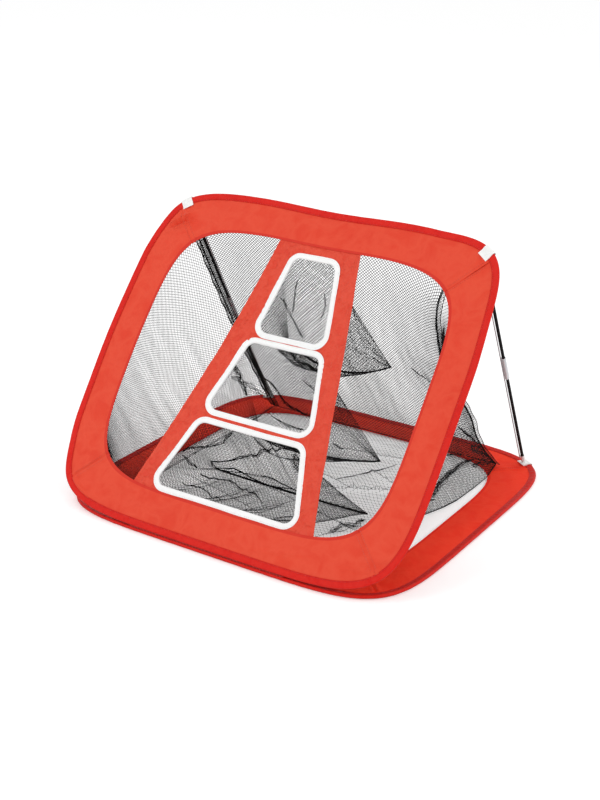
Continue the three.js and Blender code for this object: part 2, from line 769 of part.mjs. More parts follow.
const footPlaces = tabPlaces(baseHalfWidth, baseMiddle, baseCorner, baseMiddle);
const headPlaces = tabPlaces(panelHalfWidth, panelMiddle, panelCorner, panelMiddle);
footPlaces.forEach(([name, foot], k) => {
  const head = headPlaces[k][1];
  const footPoint = new THREE.Vector3(
    foot.x - foot.nx * rodFootInset,
    foot.y - foot.ny * rodFootInset,
    hoopLevel + tabTop + clearance + capRadius,
  );
  const headPoint = onPanel(
    head.x - head.nx * rodHeadInset,
    head.y - head.ny * rodHeadInset,
    hoopLevel - tabTop - rodHeadRoom - capRadius,
  );
  rod(name === 'left' ? -1 : 1, footPoint, headPoint, whole);
});

export default chippingNet;
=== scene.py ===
import json
import math

import bpy
import numpy as np
from mathutils import Matrix, Vector

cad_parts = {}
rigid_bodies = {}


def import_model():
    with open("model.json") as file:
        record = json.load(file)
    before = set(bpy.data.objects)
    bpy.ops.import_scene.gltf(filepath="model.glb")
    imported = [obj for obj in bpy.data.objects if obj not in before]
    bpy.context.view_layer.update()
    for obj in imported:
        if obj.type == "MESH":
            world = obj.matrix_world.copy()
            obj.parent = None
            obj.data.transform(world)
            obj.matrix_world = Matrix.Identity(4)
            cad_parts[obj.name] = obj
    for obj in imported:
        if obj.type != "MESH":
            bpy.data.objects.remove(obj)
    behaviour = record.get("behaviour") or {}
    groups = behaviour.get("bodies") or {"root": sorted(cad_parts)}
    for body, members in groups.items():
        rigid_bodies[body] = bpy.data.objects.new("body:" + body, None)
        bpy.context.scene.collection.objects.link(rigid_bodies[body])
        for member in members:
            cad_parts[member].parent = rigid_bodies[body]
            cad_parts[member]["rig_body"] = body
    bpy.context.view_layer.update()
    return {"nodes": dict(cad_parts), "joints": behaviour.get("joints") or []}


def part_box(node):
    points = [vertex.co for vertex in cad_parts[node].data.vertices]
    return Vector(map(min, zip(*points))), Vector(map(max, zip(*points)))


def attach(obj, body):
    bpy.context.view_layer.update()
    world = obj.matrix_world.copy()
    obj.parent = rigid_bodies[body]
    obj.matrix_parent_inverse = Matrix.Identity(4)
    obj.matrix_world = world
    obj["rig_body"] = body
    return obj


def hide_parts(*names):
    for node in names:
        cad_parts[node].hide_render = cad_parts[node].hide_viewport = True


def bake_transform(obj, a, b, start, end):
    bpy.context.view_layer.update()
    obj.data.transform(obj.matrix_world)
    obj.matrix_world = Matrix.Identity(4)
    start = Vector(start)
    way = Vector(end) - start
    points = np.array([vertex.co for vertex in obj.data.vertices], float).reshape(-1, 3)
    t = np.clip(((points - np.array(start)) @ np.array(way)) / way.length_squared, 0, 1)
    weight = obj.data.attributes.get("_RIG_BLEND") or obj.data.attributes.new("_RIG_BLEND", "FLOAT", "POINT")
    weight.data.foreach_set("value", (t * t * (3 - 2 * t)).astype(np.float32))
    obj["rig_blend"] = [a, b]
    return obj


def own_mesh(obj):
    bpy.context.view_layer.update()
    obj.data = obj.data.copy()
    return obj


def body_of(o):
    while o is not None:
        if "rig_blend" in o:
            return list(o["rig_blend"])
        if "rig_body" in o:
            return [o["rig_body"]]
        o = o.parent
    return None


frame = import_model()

bpy.ops.object.select_all(action="DESELECT")
scene = bpy.context.scene
print("frame loaded")

# The photograph's own view.
camera = {
    "place": (1.19718, -1.8566, 1.08025),
    "bearing": 33.302,  # degrees
    "tilt": 67.337,
    "roll": 0.304,
    "lens": 84.16,
    "sensor": 36,
    "picture": (600, 800),
}
turned = (
    Matrix.Rotation(math.radians(camera["bearing"]), 4, "Z")
    @ Matrix.Rotation(math.radians(camera["tilt"]), 4, "X")
    @ Matrix.Rotation(math.radians(camera["roll"]), 4, "Z")
)
bpy.ops.object.camera_add(location=camera["place"], rotation=turned.to_euler())
scene.camera = bpy.context.object
scene.camera.data.sensor_fit = "HORIZONTAL"
scene.camera.data.sensor_width = camera["sensor"]
scene.camera.data.lens = camera["lens"]
scene.camera.data.clip_start = 0.05
scene.camera.data.clip_end = 60

studio = {
    "surround": 0.80,  # light that the surround gives; the camera sees it as white
    "floorColor": (0.93, 0.93, 0.93, 1),
    "floorGlow": 0.24,  # seen by the camera only, so the shadow stays
    "floorSize": 14,
    "floorLevel": -0.0004,
    "aim": (0, 0, 0.15),
    "lamps": {
        "key": {"place": (-1.5, -2.3, 2.7), "size": 1.6, "watts": 26},
        "fill": {"place": (2.6, -1.2, 1.7), "size": 2.2, "watts": 8},
        "rear": {"place": (0.5, 2.6, 2.4), "size": 2.2, "watts": 12},
        "side": {"place": (2.7, 1.2, 2.0), "size": 2.0, "watts": 16},
    },
}


def feed(tree, node, inputs):  # each input takes a value, or the socket that drives it
    for key, value in inputs.items():
        if isinstance(value, bpy.types.NodeSocket):
            tree.links.new(value, node.inputs[key])
        else:
            node.inputs[key].default_value = value
    return node


def addNode(tree, kind, inputs={}, **settings):
    node = tree.nodes.new(kind)
    for key, value in settings.items():
        setattr(node, key, value)
    return feed(tree, node, inputs)


def mathNode(tree, operation, *values):
    return addNode(tree, "ShaderNodeMath", dict(enumerate(values)), operation=operation).outputs[0]


def seenAsBackground(tree):  # 1 for camera, glossy and transmission rays
    rays = addNode(tree, "ShaderNodeLightPath").outputs
    seen = mathNode(tree, "MAXIMUM", rays["Is Camera Ray"], rays["Is Glossy Ray"])
    return mathNode(tree, "MAXIMUM", seen, rays["Is Transmission Ray"])


world = scene.world = bpy.data.worlds.new("studioSurround")
world.use_nodes = True
sky = world.node_tree
glare = {"Value": seenAsBackground(sky), "To Min": studio["surround"], "To Max": 1}
strength = addNode(sky, "ShaderNodeMapRange", glare).outputs["Result"]
feed(sky, sky.nodes["Background"], {"Color": (1, 1, 1, 1), "Strength": strength})

for lampName, lamp in studio["lamps"].items():
    aim = (Vector(studio["aim"]) - Vector(lamp["place"])).to_track_quat("-Z", "Y").to_euler()
    bpy.ops.object.light_add(type="AREA", location=lamp["place"], rotation=aim)
    light = bpy.context.object
    light.name = "lamp_" + lampName
    light.data.shape = "DISK"
    light.data.size = lamp["size"]
    light.data.energy = lamp["watts"]

bpy.ops.mesh.primitive_plane_add(size=studio["floorSize"], location=(0, 0, studio["floorLevel"]))
floor = bpy.context.object
floor.name = "studio_floor"
floorMaterial = bpy.data.materials.new("studioFloor")
floorMaterial.use_nodes = True
floorTree = floorMaterial.node_tree
floorTree.nodes.clear()
glowStrength = mathNode(floorTree, "MULTIPLY", seenAsBackground(floorTree), studio["floorGlow"])
floorGlow = addNode(floorTree, "ShaderNodeEmission", {"Color": (1, 1, 1, 1), "Strength": glowStrength})
floorPaint = addNode(floorTree, "ShaderNodeBsdfDiffuse", {"Color": studio["floorColor"]})
floorSum = addNode(floorTree, "ShaderNodeAddShader", {0: floorPaint.outputs[0], 1: floorGlow.outputs[0]})
addNode(floorTree, "ShaderNodeOutputMaterial", {"Surface": floorSum.outputs[0]})
floor.data.materials.append(floorMaterial)
scene.view_settings.view_transform = "Standard"
print("camera and studio ready")


def makeGroup(name, inputs, outputs):  # an effect that several materials share
    tree = bpy.data.node_groups.new(name, "ShaderNodeTree")
    tree.interface.new_socket("Vector", in_out="INPUT", socket_type="NodeSocketVector")
    for socketName, value in inputs.items():
        socket = tree.interface.new_socket(socketName, in_out="INPUT", socket_type="NodeSocketFloat")
        socket.default_value = value
    for socketName in outputs:
        tree.interface.new_socket(socketName, in_out="OUTPUT", socket_type="NodeSocketFloat")
    return tree, addNode(tree, "NodeGroupInput").outputs, addNode(tree, "NodeGroupOutput")


def buildWeave():  # plain weave: warp and weft pass over each other in turn
    tree, given, result = makeGroup("plainWeave", {"Threads per metre": 2000.0}, ["Height"])
    scale = {0: given["Vector"], "Scale": given["Threads per metre"]}
    threads = addNode(tree, "ShaderNodeVectorMath", scale, operation="SCALE").outputs["Vector"]
    parts = addNode(tree, "ShaderNodeSeparateXYZ", {0: threads}).outputs
    cells = [mathNode(tree, "FLOOR", parts[axis]) for axis in "XY"]
    over = mathNode(tree, "ABSOLUTE", mathNode(tree, "MODULO", mathNode(tree, "ADD", *cells), 2.0))
    heights = []
    for axis, upper in (("X", over), ("Y", mathNode(tree, "SUBTRACT", 1.0, over))):
        wave = mathNode(tree, "SINE", mathNode(tree, "MULTIPLY", parts[axis], math.pi))
        raised = mathNode(tree, "MULTIPLY_ADD", upper, 0.6, 0.4)
        heights.append(mathNode(tree, "MULTIPLY", mathNode(tree, "ABSOLUTE", wave), raised))
    feed(tree, result, {"Height": mathNode(tree, "MAXIMUM", *heights)})
    return tree


def buildCrinkle():  # sharp soft-edged creases, as thin coated cloth keeps from its packing
    tree, given, result = makeGroup("crinkle", {"Scale": 30.0}, ["Height", "Tone"])
    folds = {"Detail": 3.0, "Roughness": 0.55, "Distortion": 0.35}
    noise = addNode(tree, "ShaderNodeTexNoise", {"Vector": given["Vector"], "Scale": given["Scale"], **folds})
    fold = mathNode(tree, "ABSOLUTE", mathNode(tree, "SUBTRACT", noise.outputs["Fac"], 0.5))
    flat = mathNode(tree, "MINIMUM", mathNode(tree, "MULTIPLY", fold, 6), 1.0)
    coarse = mathNode(tree, "MULTIPLY", given["Scale"], 0.35)
    tone = addNode(tree, "ShaderNodeTexNoise", {"Vector": given["Vector"], "Scale": coarse, "Detail": 2.0})
    feed(tree, result, {"Height": mathNode(tree, "SUBTRACT", 1.0, flat), "Tone": tone.outputs["Fac"]})
    return tree


def buildWear():  # worn and dusty patches
    tree, given, result = makeGroup("wearPatches", {"Scale": 12.0, "Amount": 0.5}, ["Mask"])
    cloud = {"Vector": given["Vector"], "Scale": given["Scale"], "Detail": 5.0, "Roughness": 0.65}
    noise = addNode(tree, "ShaderNodeTexNoise", cloud).outputs["Fac"]
    bounds = {"Value": noise, "From Min": 0.42, "From Max": 0.72}
    patch = addNode(tree, "ShaderNodeMapRange", bounds, interpolation_type="SMOOTHSTEP")
    feed(tree, result, {"Mask": mathNode(tree, "MULTIPLY", patch.outputs["Result"], given["Amount"])})
    return tree


def buildBraid():  # the slanting strands of a braided or twisted cord
    tree, given, result = makeGroup("braid", {"Strands per metre": 700.0, "Slant": 1.0}, ["Height"])
    parts = addNode(tree, "ShaderNodeSeparateXYZ", {0: given["Vector"]}).outputs
    slant = mathNode(tree, "MULTIPLY", parts["X"], given["Slant"])
    waves = []
    for sign in (1.0, -1.0):
        slanted = mathNode(tree, "MULTIPLY_ADD", slant, sign, parts["Y"])
        strands = mathNode(tree, "MULTIPLY", slanted, given["Strands per metre"])
        wave = mathNode(tree, "SINE", mathNode(tree, "MULTIPLY", strands, math.pi))
        waves.append(mathNode(tree, "ABSOLUTE", wave))
    feed(tree, result, {"Height": mathNode(tree, "MAXIMUM", *waves)})
    return tree


effects = {"weave": buildWeave(), "crinkle": buildCrinkle(), "wear": buildWear(), "braid": buildBraid()}


def linearColor(red, green, blue):  # from the 0-255 values that a picture shows
    tones = [value / 255 for value in (red, green, blue)]
    return tuple(t / 12.92 if t <= 0.04045 else ((t + 0.055) / 1.055) ** 2.4 for t in tones) + (1,)


def useGroup(tree, name, vector, values):
    node = addNode(tree, "ShaderNodeGroup", node_tree=effects[name])
    return feed(tree, node, {"Vector": vector, **values}).outputs


def mixColors(tree, factor, first, second):
    return addNode(tree, "ShaderNodeMix", {0: factor, 6: first, 7: second}, data_type="RGBA").outputs[2]


def addBump(tree, height, distance, strength, under={}):
    bump = {"Height": height, "Distance": distance, "Strength": strength, **under}
    return addNode(tree, "ShaderNodeBump", bump).outputs["Normal"]


def newMaterial(name):
    material = bpy.data.materials.new(name)
    material.use_nodes = True
    tree = material.node_tree
    return material, tree, tree.nodes["Principled BSDF"], addNode(tree, "ShaderNodeTexCoord").outputs


# Woven goods: colour, its lighter and darker tones, weave, creases and wear.
redCloth = {"threads": 2400.0, "weaveDepth": 0.00006, "creaseStrength": 0.3}
redBorder = {**redCloth, "hemFrom": 0.0915, "creaseScale": 26.0, "creaseDepth": 0.0009, "wear": 0.1}
clothFinishes = {
    "redNylon": {
        **redBorder, "color": (227, 69, 42), "dark": (218, 57, 34), "pale": (234, 92, 64),
        "hem": (206, 42, 28), "roughness": 0.62, "sheen": 0.04, "specular": 0.22,
    },
    # painted light: the base's copy of the red nylon is painted brighter than the panel's, to make up for the
    # shade it lies in, flat and partly under the panel
    "redBasePaintedLight": {
        **redBorder, "color": (244, 56, 30), "dark": (236, 46, 25), "pale": (248, 78, 50),
        "hem": (224, 32, 20), "roughness": 0.7, "sheen": 0.0, "specular": 0.1,
    },
    "redStrip": {
        **redCloth, "color": (225, 66, 38), "dark": (213, 52, 30), "pale": (234, 94, 68), "roughness": 0.5,
        "sheen": 0.04, "creaseScale": 48.0, "creaseDepth": 0.0022, "creaseStrength": 0.8, "wear": 0.14,
        "specular": 0.28,
    },
    # the sleeve's red is darker than the border's: partly its doubled cloth, partly painted shade of its
    # tight round
    "redSleeve": {
        **redCloth, "color": (215, 28, 18), "dark": (205, 22, 15), "pale": (228, 48, 34), "roughness": 0.5,
        "rim": (128, 22, 16), "sheen": 0.0, "creaseScale": 60.0, "creaseDepth": 0.0006, "wear": 0.12,
        "specular": 0.14,
    },
    "whiteBinding": {
        "color": (253, 253, 252), "dark": (240, 240, 239), "pale": (255, 255, 255), "roughness": 0.72,
        "sheen": 0.3, "threads": 1300.0, "weaveDepth": 0.00014, "creaseScale": 90.0, "creaseDepth": 0.0004,
        "creaseStrength": 0.3, "wear": 0.3, "specular": 0.3,
    },
    "whiteWebbing": {
        "color": (252, 252, 250), "dark": (228, 228, 226), "pale": (255, 255, 254), "roughness": 0.8,
        "sheen": 0.35, "threads": 800.0, "weaveDepth": 0.0003, "creaseScale": 80.0, "creaseDepth": 0.0003,
        "creaseStrength": 0.3, "wear": 0.4, "specular": 0.3,
    },
}


def clothMaterial(name, look):
    material, tree, shader, coordinates = newMaterial(name)
    paint = {key: linearColor(*look[key]) for key in ("color", "dark", "pale", "hem", "rim") if key in look}
    weave = useGroup(tree, "weave", coordinates["UV"], {"Threads per metre": look["threads"]})["Height"]
    crinkle = useGroup(tree, "crinkle", coordinates["Object"], {"Scale": look["creaseScale"]})
    wear = useGroup(tree, "wear", coordinates["Object"], {"Scale": 14.0, "Amount": look["wear"]})["Mask"]
    color = mixColors(tree, crinkle["Tone"], paint["dark"], paint["color"])
    # painted highlight: the crease ridges are painted paler
    color = mixColors(tree, mathNode(tree, "MULTIPLY", crinkle["Height"], 0.35), color, paint["pale"])
    if "hem" in look:  # doubled cloth along the window, on the piece's own UV map; its darker colour is painted shade
        across = addNode(tree, "ShaderNodeSeparateXYZ", {0: coordinates["UV"]}).outputs["Y"]
        step = {"From Min": look["hemFrom"], "From Max": look["hemFrom"] + 0.002, "To Max": 0.85}
        band = addNode(
            tree, "ShaderNodeMapRange", {"Value": across, **step}, interpolation_type="SMOOTHSTEP")
        color = mixColors(tree, band.outputs["Result"], color, paint["hem"])
    if "rim" in look:  # painted shade: the tight round of the sleeve is darkened where it turns away from view
        facing = addNode(tree, "ShaderNodeLayerWeight", {"Blend": 0.5}).outputs["Facing"]
        away = mathNode(tree, "MULTIPLY", mathNode(tree, "POWER", facing, 2.6), 0.85)
        color = mixColors(tree, away, color, paint["rim"])
    # painted shade: the weave's hollows between the threads are darkened
    shade = mathNode(tree, "MULTIPLY_ADD", weave, -0.22, 0.2)
    color = mixColors(tree, wear, mixColors(tree, shade, color, paint["dark"]), paint["pale"])
    normal = addBump(tree, crinkle["Height"], look["creaseDepth"], look["creaseStrength"])
    feed(tree, shader, {
        "Base Color": color,
        "Roughness": mathNode(tree, "MULTIPLY_ADD", wear, 0.25, look["roughness"]),
        "Normal": addBump(tree, weave, look["weaveDepth"], 0.6, {"Normal": normal}),
        "Sheen Weight": look["sheen"],
        "Sheen Roughness": 0.4,
        "Specular IOR Level": look["specular"],
    })
    return material


# Threads, tubes and mouldings.
plain = {"specular": 0.5, "sheen": 0.0, "metal": 0.0, "depth": 0.00005}
plainFinishes = {
    "netThread": {
        **plain, "color": (14, 14, 16), "dark": (6, 6, 7), "roughness": 0.8, "specular": 0.15,
        "scale": 240.0, "depth": 0.0001,
    },
    "seamThread": {
        **plain, "color": (12, 12, 13), "dark": (5, 5, 6), "roughness": 0.8, "specular": 0.15,
        "scale": 420.0, "depth": 0.0003,
    },
    "threadRed": {
        **plain, "color": (186, 34, 26), "dark": (160, 26, 20), "roughness": 0.5, "sheen": 0.3,
        "scale": 600.0, "depth": 0.0001,
    },
    "threadWhite": {
        **plain, "color": (222, 222, 220), "dark": (196, 196, 194), "roughness": 0.55, "sheen": 0.3,
        "scale": 600.0, "depth": 0.0001,
    },
    "fibreRod": {
        **plain, "color": (10, 10, 11), "dark": (5, 5, 6), "roughness": 0.5, "specular": 0.12, "scale": 300.0,
    },
    "jointTube": {
        **plain, "color": (214, 216, 218), "dark": (186, 188, 191), "roughness": 0.34, "metal": 0.35,
        "scale": 90.0,
    },
    "capPlastic": {
        **plain, "color": (232, 232, 230), "dark": (210, 210, 208), "roughness": 0.42, "scale": 120.0,
    },
    "hoopSteel": {
        **plain, "color": (150, 152, 156), "dark": (116, 118, 122), "roughness": 0.34, "metal": 1.0,
        "scale": 160.0,
    },
}


def plainMaterial(name, look):
    material, tree, shader, coordinates = newMaterial(name)
    grain = {"Vector": coordinates["Object"], "Scale": look["scale"], "Detail": 3.0}
    noise = addNode(tree, "ShaderNodeTexNoise", grain).outputs["Fac"]
    patches = {"Scale": look["scale"] * 0.3, "Amount": 0.5}
    wear = useGroup(tree, "wear", coordinates["Object"], patches)["Mask"]
    feed(tree, shader, {
        "Base Color": mixColors(tree, noise, linearColor(*look["dark"]), linearColor(*look["color"])),
        "Roughness": mathNode(tree, "MULTIPLY_ADD", wear, 0.3, look["roughness"]),
        "Normal": addBump(tree, noise, look["depth"], 0.5),
        "Specular IOR Level": look["specular"],
        "Sheen Weight": look["sheen"],
        "Metallic": look["metal"],
    })
    return material


def cordMaterial(name, light, dark, strands):  # braided cord, on the cord's own UV map
    material, tree, shader, coordinates = newMaterial(name)
    braid = useGroup(tree, "braid", coordinates["UV"], {"Strands per metre": strands})["Height"]
    feed(tree, shader, {
        # painted shade: the grooves between the strands are darkened
        "Base Color": mixColors(tree, braid, linearColor(*dark), linearColor(*light)),
        "Normal": addBump(tree, braid, 0.0003, 0.7),
        "Roughness": 0.75,
        "Sheen Weight": 0.2,
    })
    return material


materials = {name: clothMaterial(name, look) for name, look in clothFinishes.items()}
materials.update({name: plainMaterial(name, look) for name, look in plainFinishes.items()})
materials["elasticCord"] = cordMaterial("elasticCord", (206, 207, 210), (140, 141, 146), 900.0)
materials["shockCord"] = cordMaterial("shockCord", (70, 70, 74), (24, 24, 26), 900.0)
materials["hingeCord"] = cordMaterial("hingeCord", (190, 40, 30), (120, 20, 16), 700.0)
print("materials ready")

# Where things are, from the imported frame.
joints = {joint["name"]: joint for joint in frame["joints"]}
hinge = Vector(joints["panel_fold"]["pos_m"])
baseLow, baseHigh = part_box("base_edge_sleeve")
panelLow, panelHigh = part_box("panel_hoop")
hoopLevel = baseHigh.z / 2
fromHinge = (panelLow + panelHigh) / 2 - hinge
reach = math.hypot(fromHinge.y, fromHinge.z)
panelHalf = math.sqrt(reach**2 - hoopLevel**2)
lean = math.atan2(fromHinge.z, fromHinge.y) - math.asin(hoopLevel / reach)
sleeveRadius = hoopLevel
panelEdge = {
    "halfX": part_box("panel_edge_sleeve")[1].x - sleeveRadius,
    "halfY": panelHalf - sleeveRadius,
    "corner": 5.85,
    "middle": panelHalf,
}
window = {"halfX": 0.275, "halfY": 0.2325, "corner": 4.9, "middle": panelHalf}
baseHalf = (baseHigh.y - baseLow.y) / 2
baseEdge = {
    "halfX": baseHigh.x - sleeveRadius,
    "halfY": baseHalf - sleeveRadius,
    "corner": 5.8,
    "middle": baseHalf,
}
opening = {"halfX": 0.266, "halfY": 0.244, "corner": 5.0, "middle": baseHalf}

# The spring hoop isn't quite true: where it leaves its drawn outline, how far around, and by how much.
hoopBends = [
    ((0.300, 0.585), 0.105, (0.0035, 0.0080)), ((0.350, 0.470), 0.100, (-0.0038, 0.0)),
    ((-0.340, 0.310), 0.180, (-0.0050, 0.0)),
    ((0.010, 0.598), 0.150, (0.0, -0.0038)), ((-0.328, 0.090), 0.065, (0.0038, 0.001)),
    ((-0.325, 0.520), 0.065, (0.0038, -0.001)),
]


def toPanel(x, up, out):  # panel's own frame: across, up from its front edge, out of its face
    x, up, out = np.broadcast_arrays(np.asarray(x, float), np.asarray(up, float), np.asarray(out, float))
    moves = [(np.hypot(x - at[0], up - at[1]) / around, shift) for at, around, shift in hoopBends]
    for distance, shift in moves:
        share = np.clip(1 - distance, 0, 1) ** 2 * (1 + 2 * np.clip(distance, 0, 1))
        x, up = x + shift[0] * share, up + shift[1] * share
    y = hinge.y + up * math.cos(lean) - out * math.sin(lean)
    z = hinge.z + up * math.sin(lean) + out * math.cos(lean)
    return np.stack([x, y, z], -1)


def toBase(x, back, height):
    x, back, height = np.broadcast_arrays(x, back, height)
    return np.stack([x, back + baseLow.y, height], -1)


def outlineAt(edge, turn):  # the point of a rounded outline where its normal has a given direction
    nx, ny = np.cos(turn), np.sin(turn)
    power = edge["corner"] / (edge["corner"] - 1)
    size = (np.abs(edge["halfX"] * nx) ** power + np.abs(edge["halfY"] * ny) ** power) ** (1 / edge["corner"])
    root = 1 / (edge["corner"] - 1)
    x = edge["halfX"] * np.sign(nx) * np.abs(edge["halfX"] * nx) ** root / size
    y = edge["middle"] + edge["halfY"] * np.sign(ny) * np.abs(edge["halfY"] * ny) ** root / size
    return x, y, nx, ny


def runAlong(points):  # length along a flat line, at each of its points
    return np.concatenate([[0], np.cumsum(np.hypot(*np.diff(points[:, :2], axis=0).T))])


def evenPoints(points, count):  # the same line in even steps
    run = runAlong(points)
    shares = np.linspace(0, 1, count + 1)
    return [np.interp(shares, run / run[-1], points[:, k]) for k in (0, 1)]


def turnsAlong(edge, shares, first=0, sides=4):  # directions at even steps along whole sides of an outline
    bend = np.linspace(-1, 1, 401)
    one = np.pi / 4 * np.sign(bend) * np.abs(bend) ** (edge["corner"] - 1)
    ends = [-1] * (sides - 1) + [None]
    turns = np.concatenate([(first + k) * np.pi / 2 + one[:end] for k, end in enumerate(ends)])
    x, y, _, _ = outlineAt(edge, turns)
    run = runAlong(np.stack([x, y], 1))
    return np.interp(np.asarray(shares) * run[-1], run, turns), run[-1]


def smoothStep(value, low=0.0, high=1.0):
    share = np.clip((value - low) / (high - low), 0, 1)
    return share * share * (3 - 2 * share)


def waveField(seed, shortest, longest, count=14, spread=math.pi):  # seeded ripples over a flat piece, -1 to 1
    random = np.random.default_rng(seed)
    length = np.exp(random.uniform(math.log(shortest), math.log(longest), count))
    turn = random.uniform(-spread / 2, spread / 2, count)
    phase = random.uniform(0, 2 * math.pi, count)
    weight = np.sqrt(length / longest)
    weight = weight / np.sqrt((weight**2).sum() / 2) / 2

    def field(a, b):
        total = np.zeros(np.broadcast(a, b).shape)
        for k in range(count):
            along = a * math.cos(turn[k]) + b * math.sin(turn[k])
            total += weight[k] * np.cos(2 * math.pi * along / length[k] + phase[k])
        return total

    return field


def ringWaves(seed, length, shortest, longest, count=24):  # ripples that close on themselves round a loop
    random = np.random.default_rng(seed)
    turns = np.round(length / np.exp(random.uniform(math.log(shortest), math.log(longest), count)))
    phase = random.uniform(0, 2 * math.pi, count)
    scale = 1 / math.sqrt(2 * count)

    def ripple(share):
        return scale * 2 * np.cos(2 * math.pi * np.multiply.outer(share, turns) + phase).sum(-1) / 1.4

    return ripple


def creaseLines(field, width):  # thin ridges where a field passes zero
    return np.exp(-((field / width) ** 2))


def activate(piece):
    bpy.ops.object.select_all(action="DESELECT")
    piece.select_set(True)
    bpy.context.view_layer.objects.active = piece


def finishWith(piece, kind, **values):
    activate(piece)
    bpy.ops.object.modifier_add(type=kind)
    modifier = piece.modifiers[-1]
    for key, value in values.items():
        setattr(modifier, key, value)
    bpy.ops.object.modifier_apply(modifier=modifier.name)


def smoothShade(piece, degrees=40):
    activate(piece)
    bpy.ops.object.shade_smooth_by_angle(angle=math.radians(degrees))


def leaveEditing(weld=None, fill=False):  # with the faces turned outwards
    bpy.ops.mesh.select_all(action="SELECT")
    if weld:
        bpy.ops.mesh.remove_doubles(threshold=weld)
    if fill:
        bpy.ops.mesh.fill_holes(sides=0)
    bpy.ops.mesh.normals_make_consistent(inside=False)
    bpy.ops.object.mode_set(mode="OBJECT")


def faceOutwards(piece, **closing):
    activate(piece)
    bpy.ops.object.mode_set(mode="EDIT")
    leaveEditing(**closing)


def gridPiece(name, columns, rows, surface, size, closed=False):  # surface takes shares of the two directions
    bpy.ops.object.select_all(action="DESELECT")
    bpy.ops.mesh.primitive_grid_add(x_subdivisions=columns, y_subdivisions=rows, size=1)
    piece = bpy.context.object
    piece.name = piece.data.name = name
    count = len(piece.data.vertices)
    flat = np.empty(count * 3)
    piece.data.vertices.foreach_get("co", flat)
    flat = flat.reshape(-1, 3) + 0.5
    s = np.round(flat[:, 0] * columns) / columns
    t = np.round(flat[:, 1] * rows) / rows
    piece.data.vertices.foreach_set("co", np.ascontiguousarray(surface(s, t), float).ravel())
    layer = piece.data.uv_layers[0]
    uv = np.empty(len(layer.data) * 2)
    layer.data.foreach_get("uv", uv)
    layer.data.foreach_set("uv", (uv.reshape(-1, 2) * size).ravel())
    piece.data.update()
    if closed:
        faceOutwards(piece, weld=0.000002)
    return piece


def dress(piece, material, body, nodes=()):
    piece.data.materials.clear()
    piece.data.materials.append(materials[material])
    if nodes:
        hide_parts(*nodes)
    if body:
        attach(piece, body)
    return piece


def meshPiece(name, points, faces):
    mesh = bpy.data.meshes.new(name)
    mesh.from_pydata(points, [], faces, shade_flat=False)
    mesh.update()
    piece = bpy.data.objects.new(name, mesh)
    scene.collection.objects.link(piece)
    return piece


def tubes(name, lines, sides=3):  # closed tubes; each line is (points, normals, radius)
    points, faces, start = [], [], 0
    ring = np.arange(sides)
    nextRing = (ring + 1) % sides
    spokes = ring * 2 * np.pi / sides
    for path, normals, radius in lines:
        count = len(path)
        along = np.gradient(path, axis=0)
        along /= np.linalg.norm(along, axis=1, keepdims=True) + 1e-12
        side = np.cross(along, normals)
        side /= np.linalg.norm(side, axis=1, keepdims=True) + 1e-12
        out = np.cross(side, along)
        around = np.cos(spokes)[None, :, None] * out[:, None] + np.sin(spokes)[None, :, None] * side[:, None]
        points.append((path[:, None] + radius * around).reshape(-1, 3))
        base = start + np.arange(count - 1)[:, None] * sides
        quads = np.stack([base + ring, base + nextRing, base + sides + nextRing, base + sides + ring], -1)
        faces.extend(quads.reshape(-1, 4).tolist())
        faces.append([start + k for k in reversed(range(sides))])
        faces.append([start + (count - 1) * sides + k for k in range(sides)])
        start += count * sides
    return meshPiece(name, np.concatenate(points), faces)


# Edge sleeves: cloth folded round each hoop, with a stitched lip.
sleeve = {
    "lip": 0.0091,  # from the hoop's middle to the sleeve's inner edge
    "lipHalf": 0.0014,
    "stitchLine": 0.0076,
    "thickness": 0.0006,
    "pucker": 0.00032,
    "wrinkle": 0.00012,
    "step": 0.002,
    "sectionSteps": 26,
    "girth": 0.026,
    "looseFrom": (-0.0078, -0.0055),  # the loose part of the lip, out from the hoop's middle
    "looseTo": (-0.002, 0.0015),
    "dent": 0.0007,  # where the stitches pull the cloth in
    "dentWidth": 0.0006,
    "stitchLevel": 0.00125,
}
hoopWire = {"radius": 0.00195, "girth": 0.012, "sides": 12, "steps": 700}


def sleeveSection():
    arc = np.radians(np.linspace(128, -128, 17))
    upper = [(-sleeve["lip"], sleeve["lipHalf"]), (-sleeve["stitchLine"], 0.0012)]
    upper += [(-0.0062, 0.0016), (-0.0042, 0.00212)]
    points = upper + [(sleeveRadius * math.cos(a), sleeveRadius * math.sin(a)) for a in arc]
    points = np.array(points + [(out, -up) for out, up in reversed(upper)])
    return evenPoints(points, sleeve["sectionSteps"])


def makeSleeve(body, edge, place, seed):
    _, length = turnsAlong(edge, [0])
    out, up = sleeveSection()
    short = ringWaves(seed, length, 0.006, 0.016)
    long = ringWaves(seed + 1, length, 0.02, 0.09)

    def surface(s, t):
        turn, _ = turnsAlong(edge, t)
        x, y, nx, ny = outlineAt(edge, turn)
        index = np.round(s * sleeve["sectionSteps"]).astype(int)
        o, u = out[index].copy(), up[index].copy()
        loose = smoothStep(o, *sleeve["looseFrom"]) * (1 - smoothStep(o, *sleeve["looseTo"]))
        ripple = sleeve["pucker"] * short(t) * loose + sleeve["wrinkle"] * long(t)
        u = u + np.sign(u) * ripple * np.minimum(1, np.abs(u) / 0.001)
        dent = np.exp(-(((o + sleeve["stitchLine"]) / sleeve["dentWidth"]) ** 2))
        u = u - np.sign(u) * sleeve["dent"] * dent
        o = o + sleeve["wrinkle"] * 0.6 * long(t) * (o < 0)
        return place(x + nx * o, y + ny * o, hoopLevel + np.clip(u, -sleeveRadius, sleeveRadius))

    size = (sleeve["girth"], length)
    rows = int(length / sleeve["step"])
    piece = gridPiece(f"{body}_sleeve_cloth", sleeve["sectionSteps"], rows, surface, size, closed=True)
    finishWith(piece, "SOLIDIFY", thickness=sleeve["thickness"], offset=-1)
    smoothShade(piece, 60)
    dress(piece, "redSleeve", body, [f"{body}_edge_sleeve"])
    return length


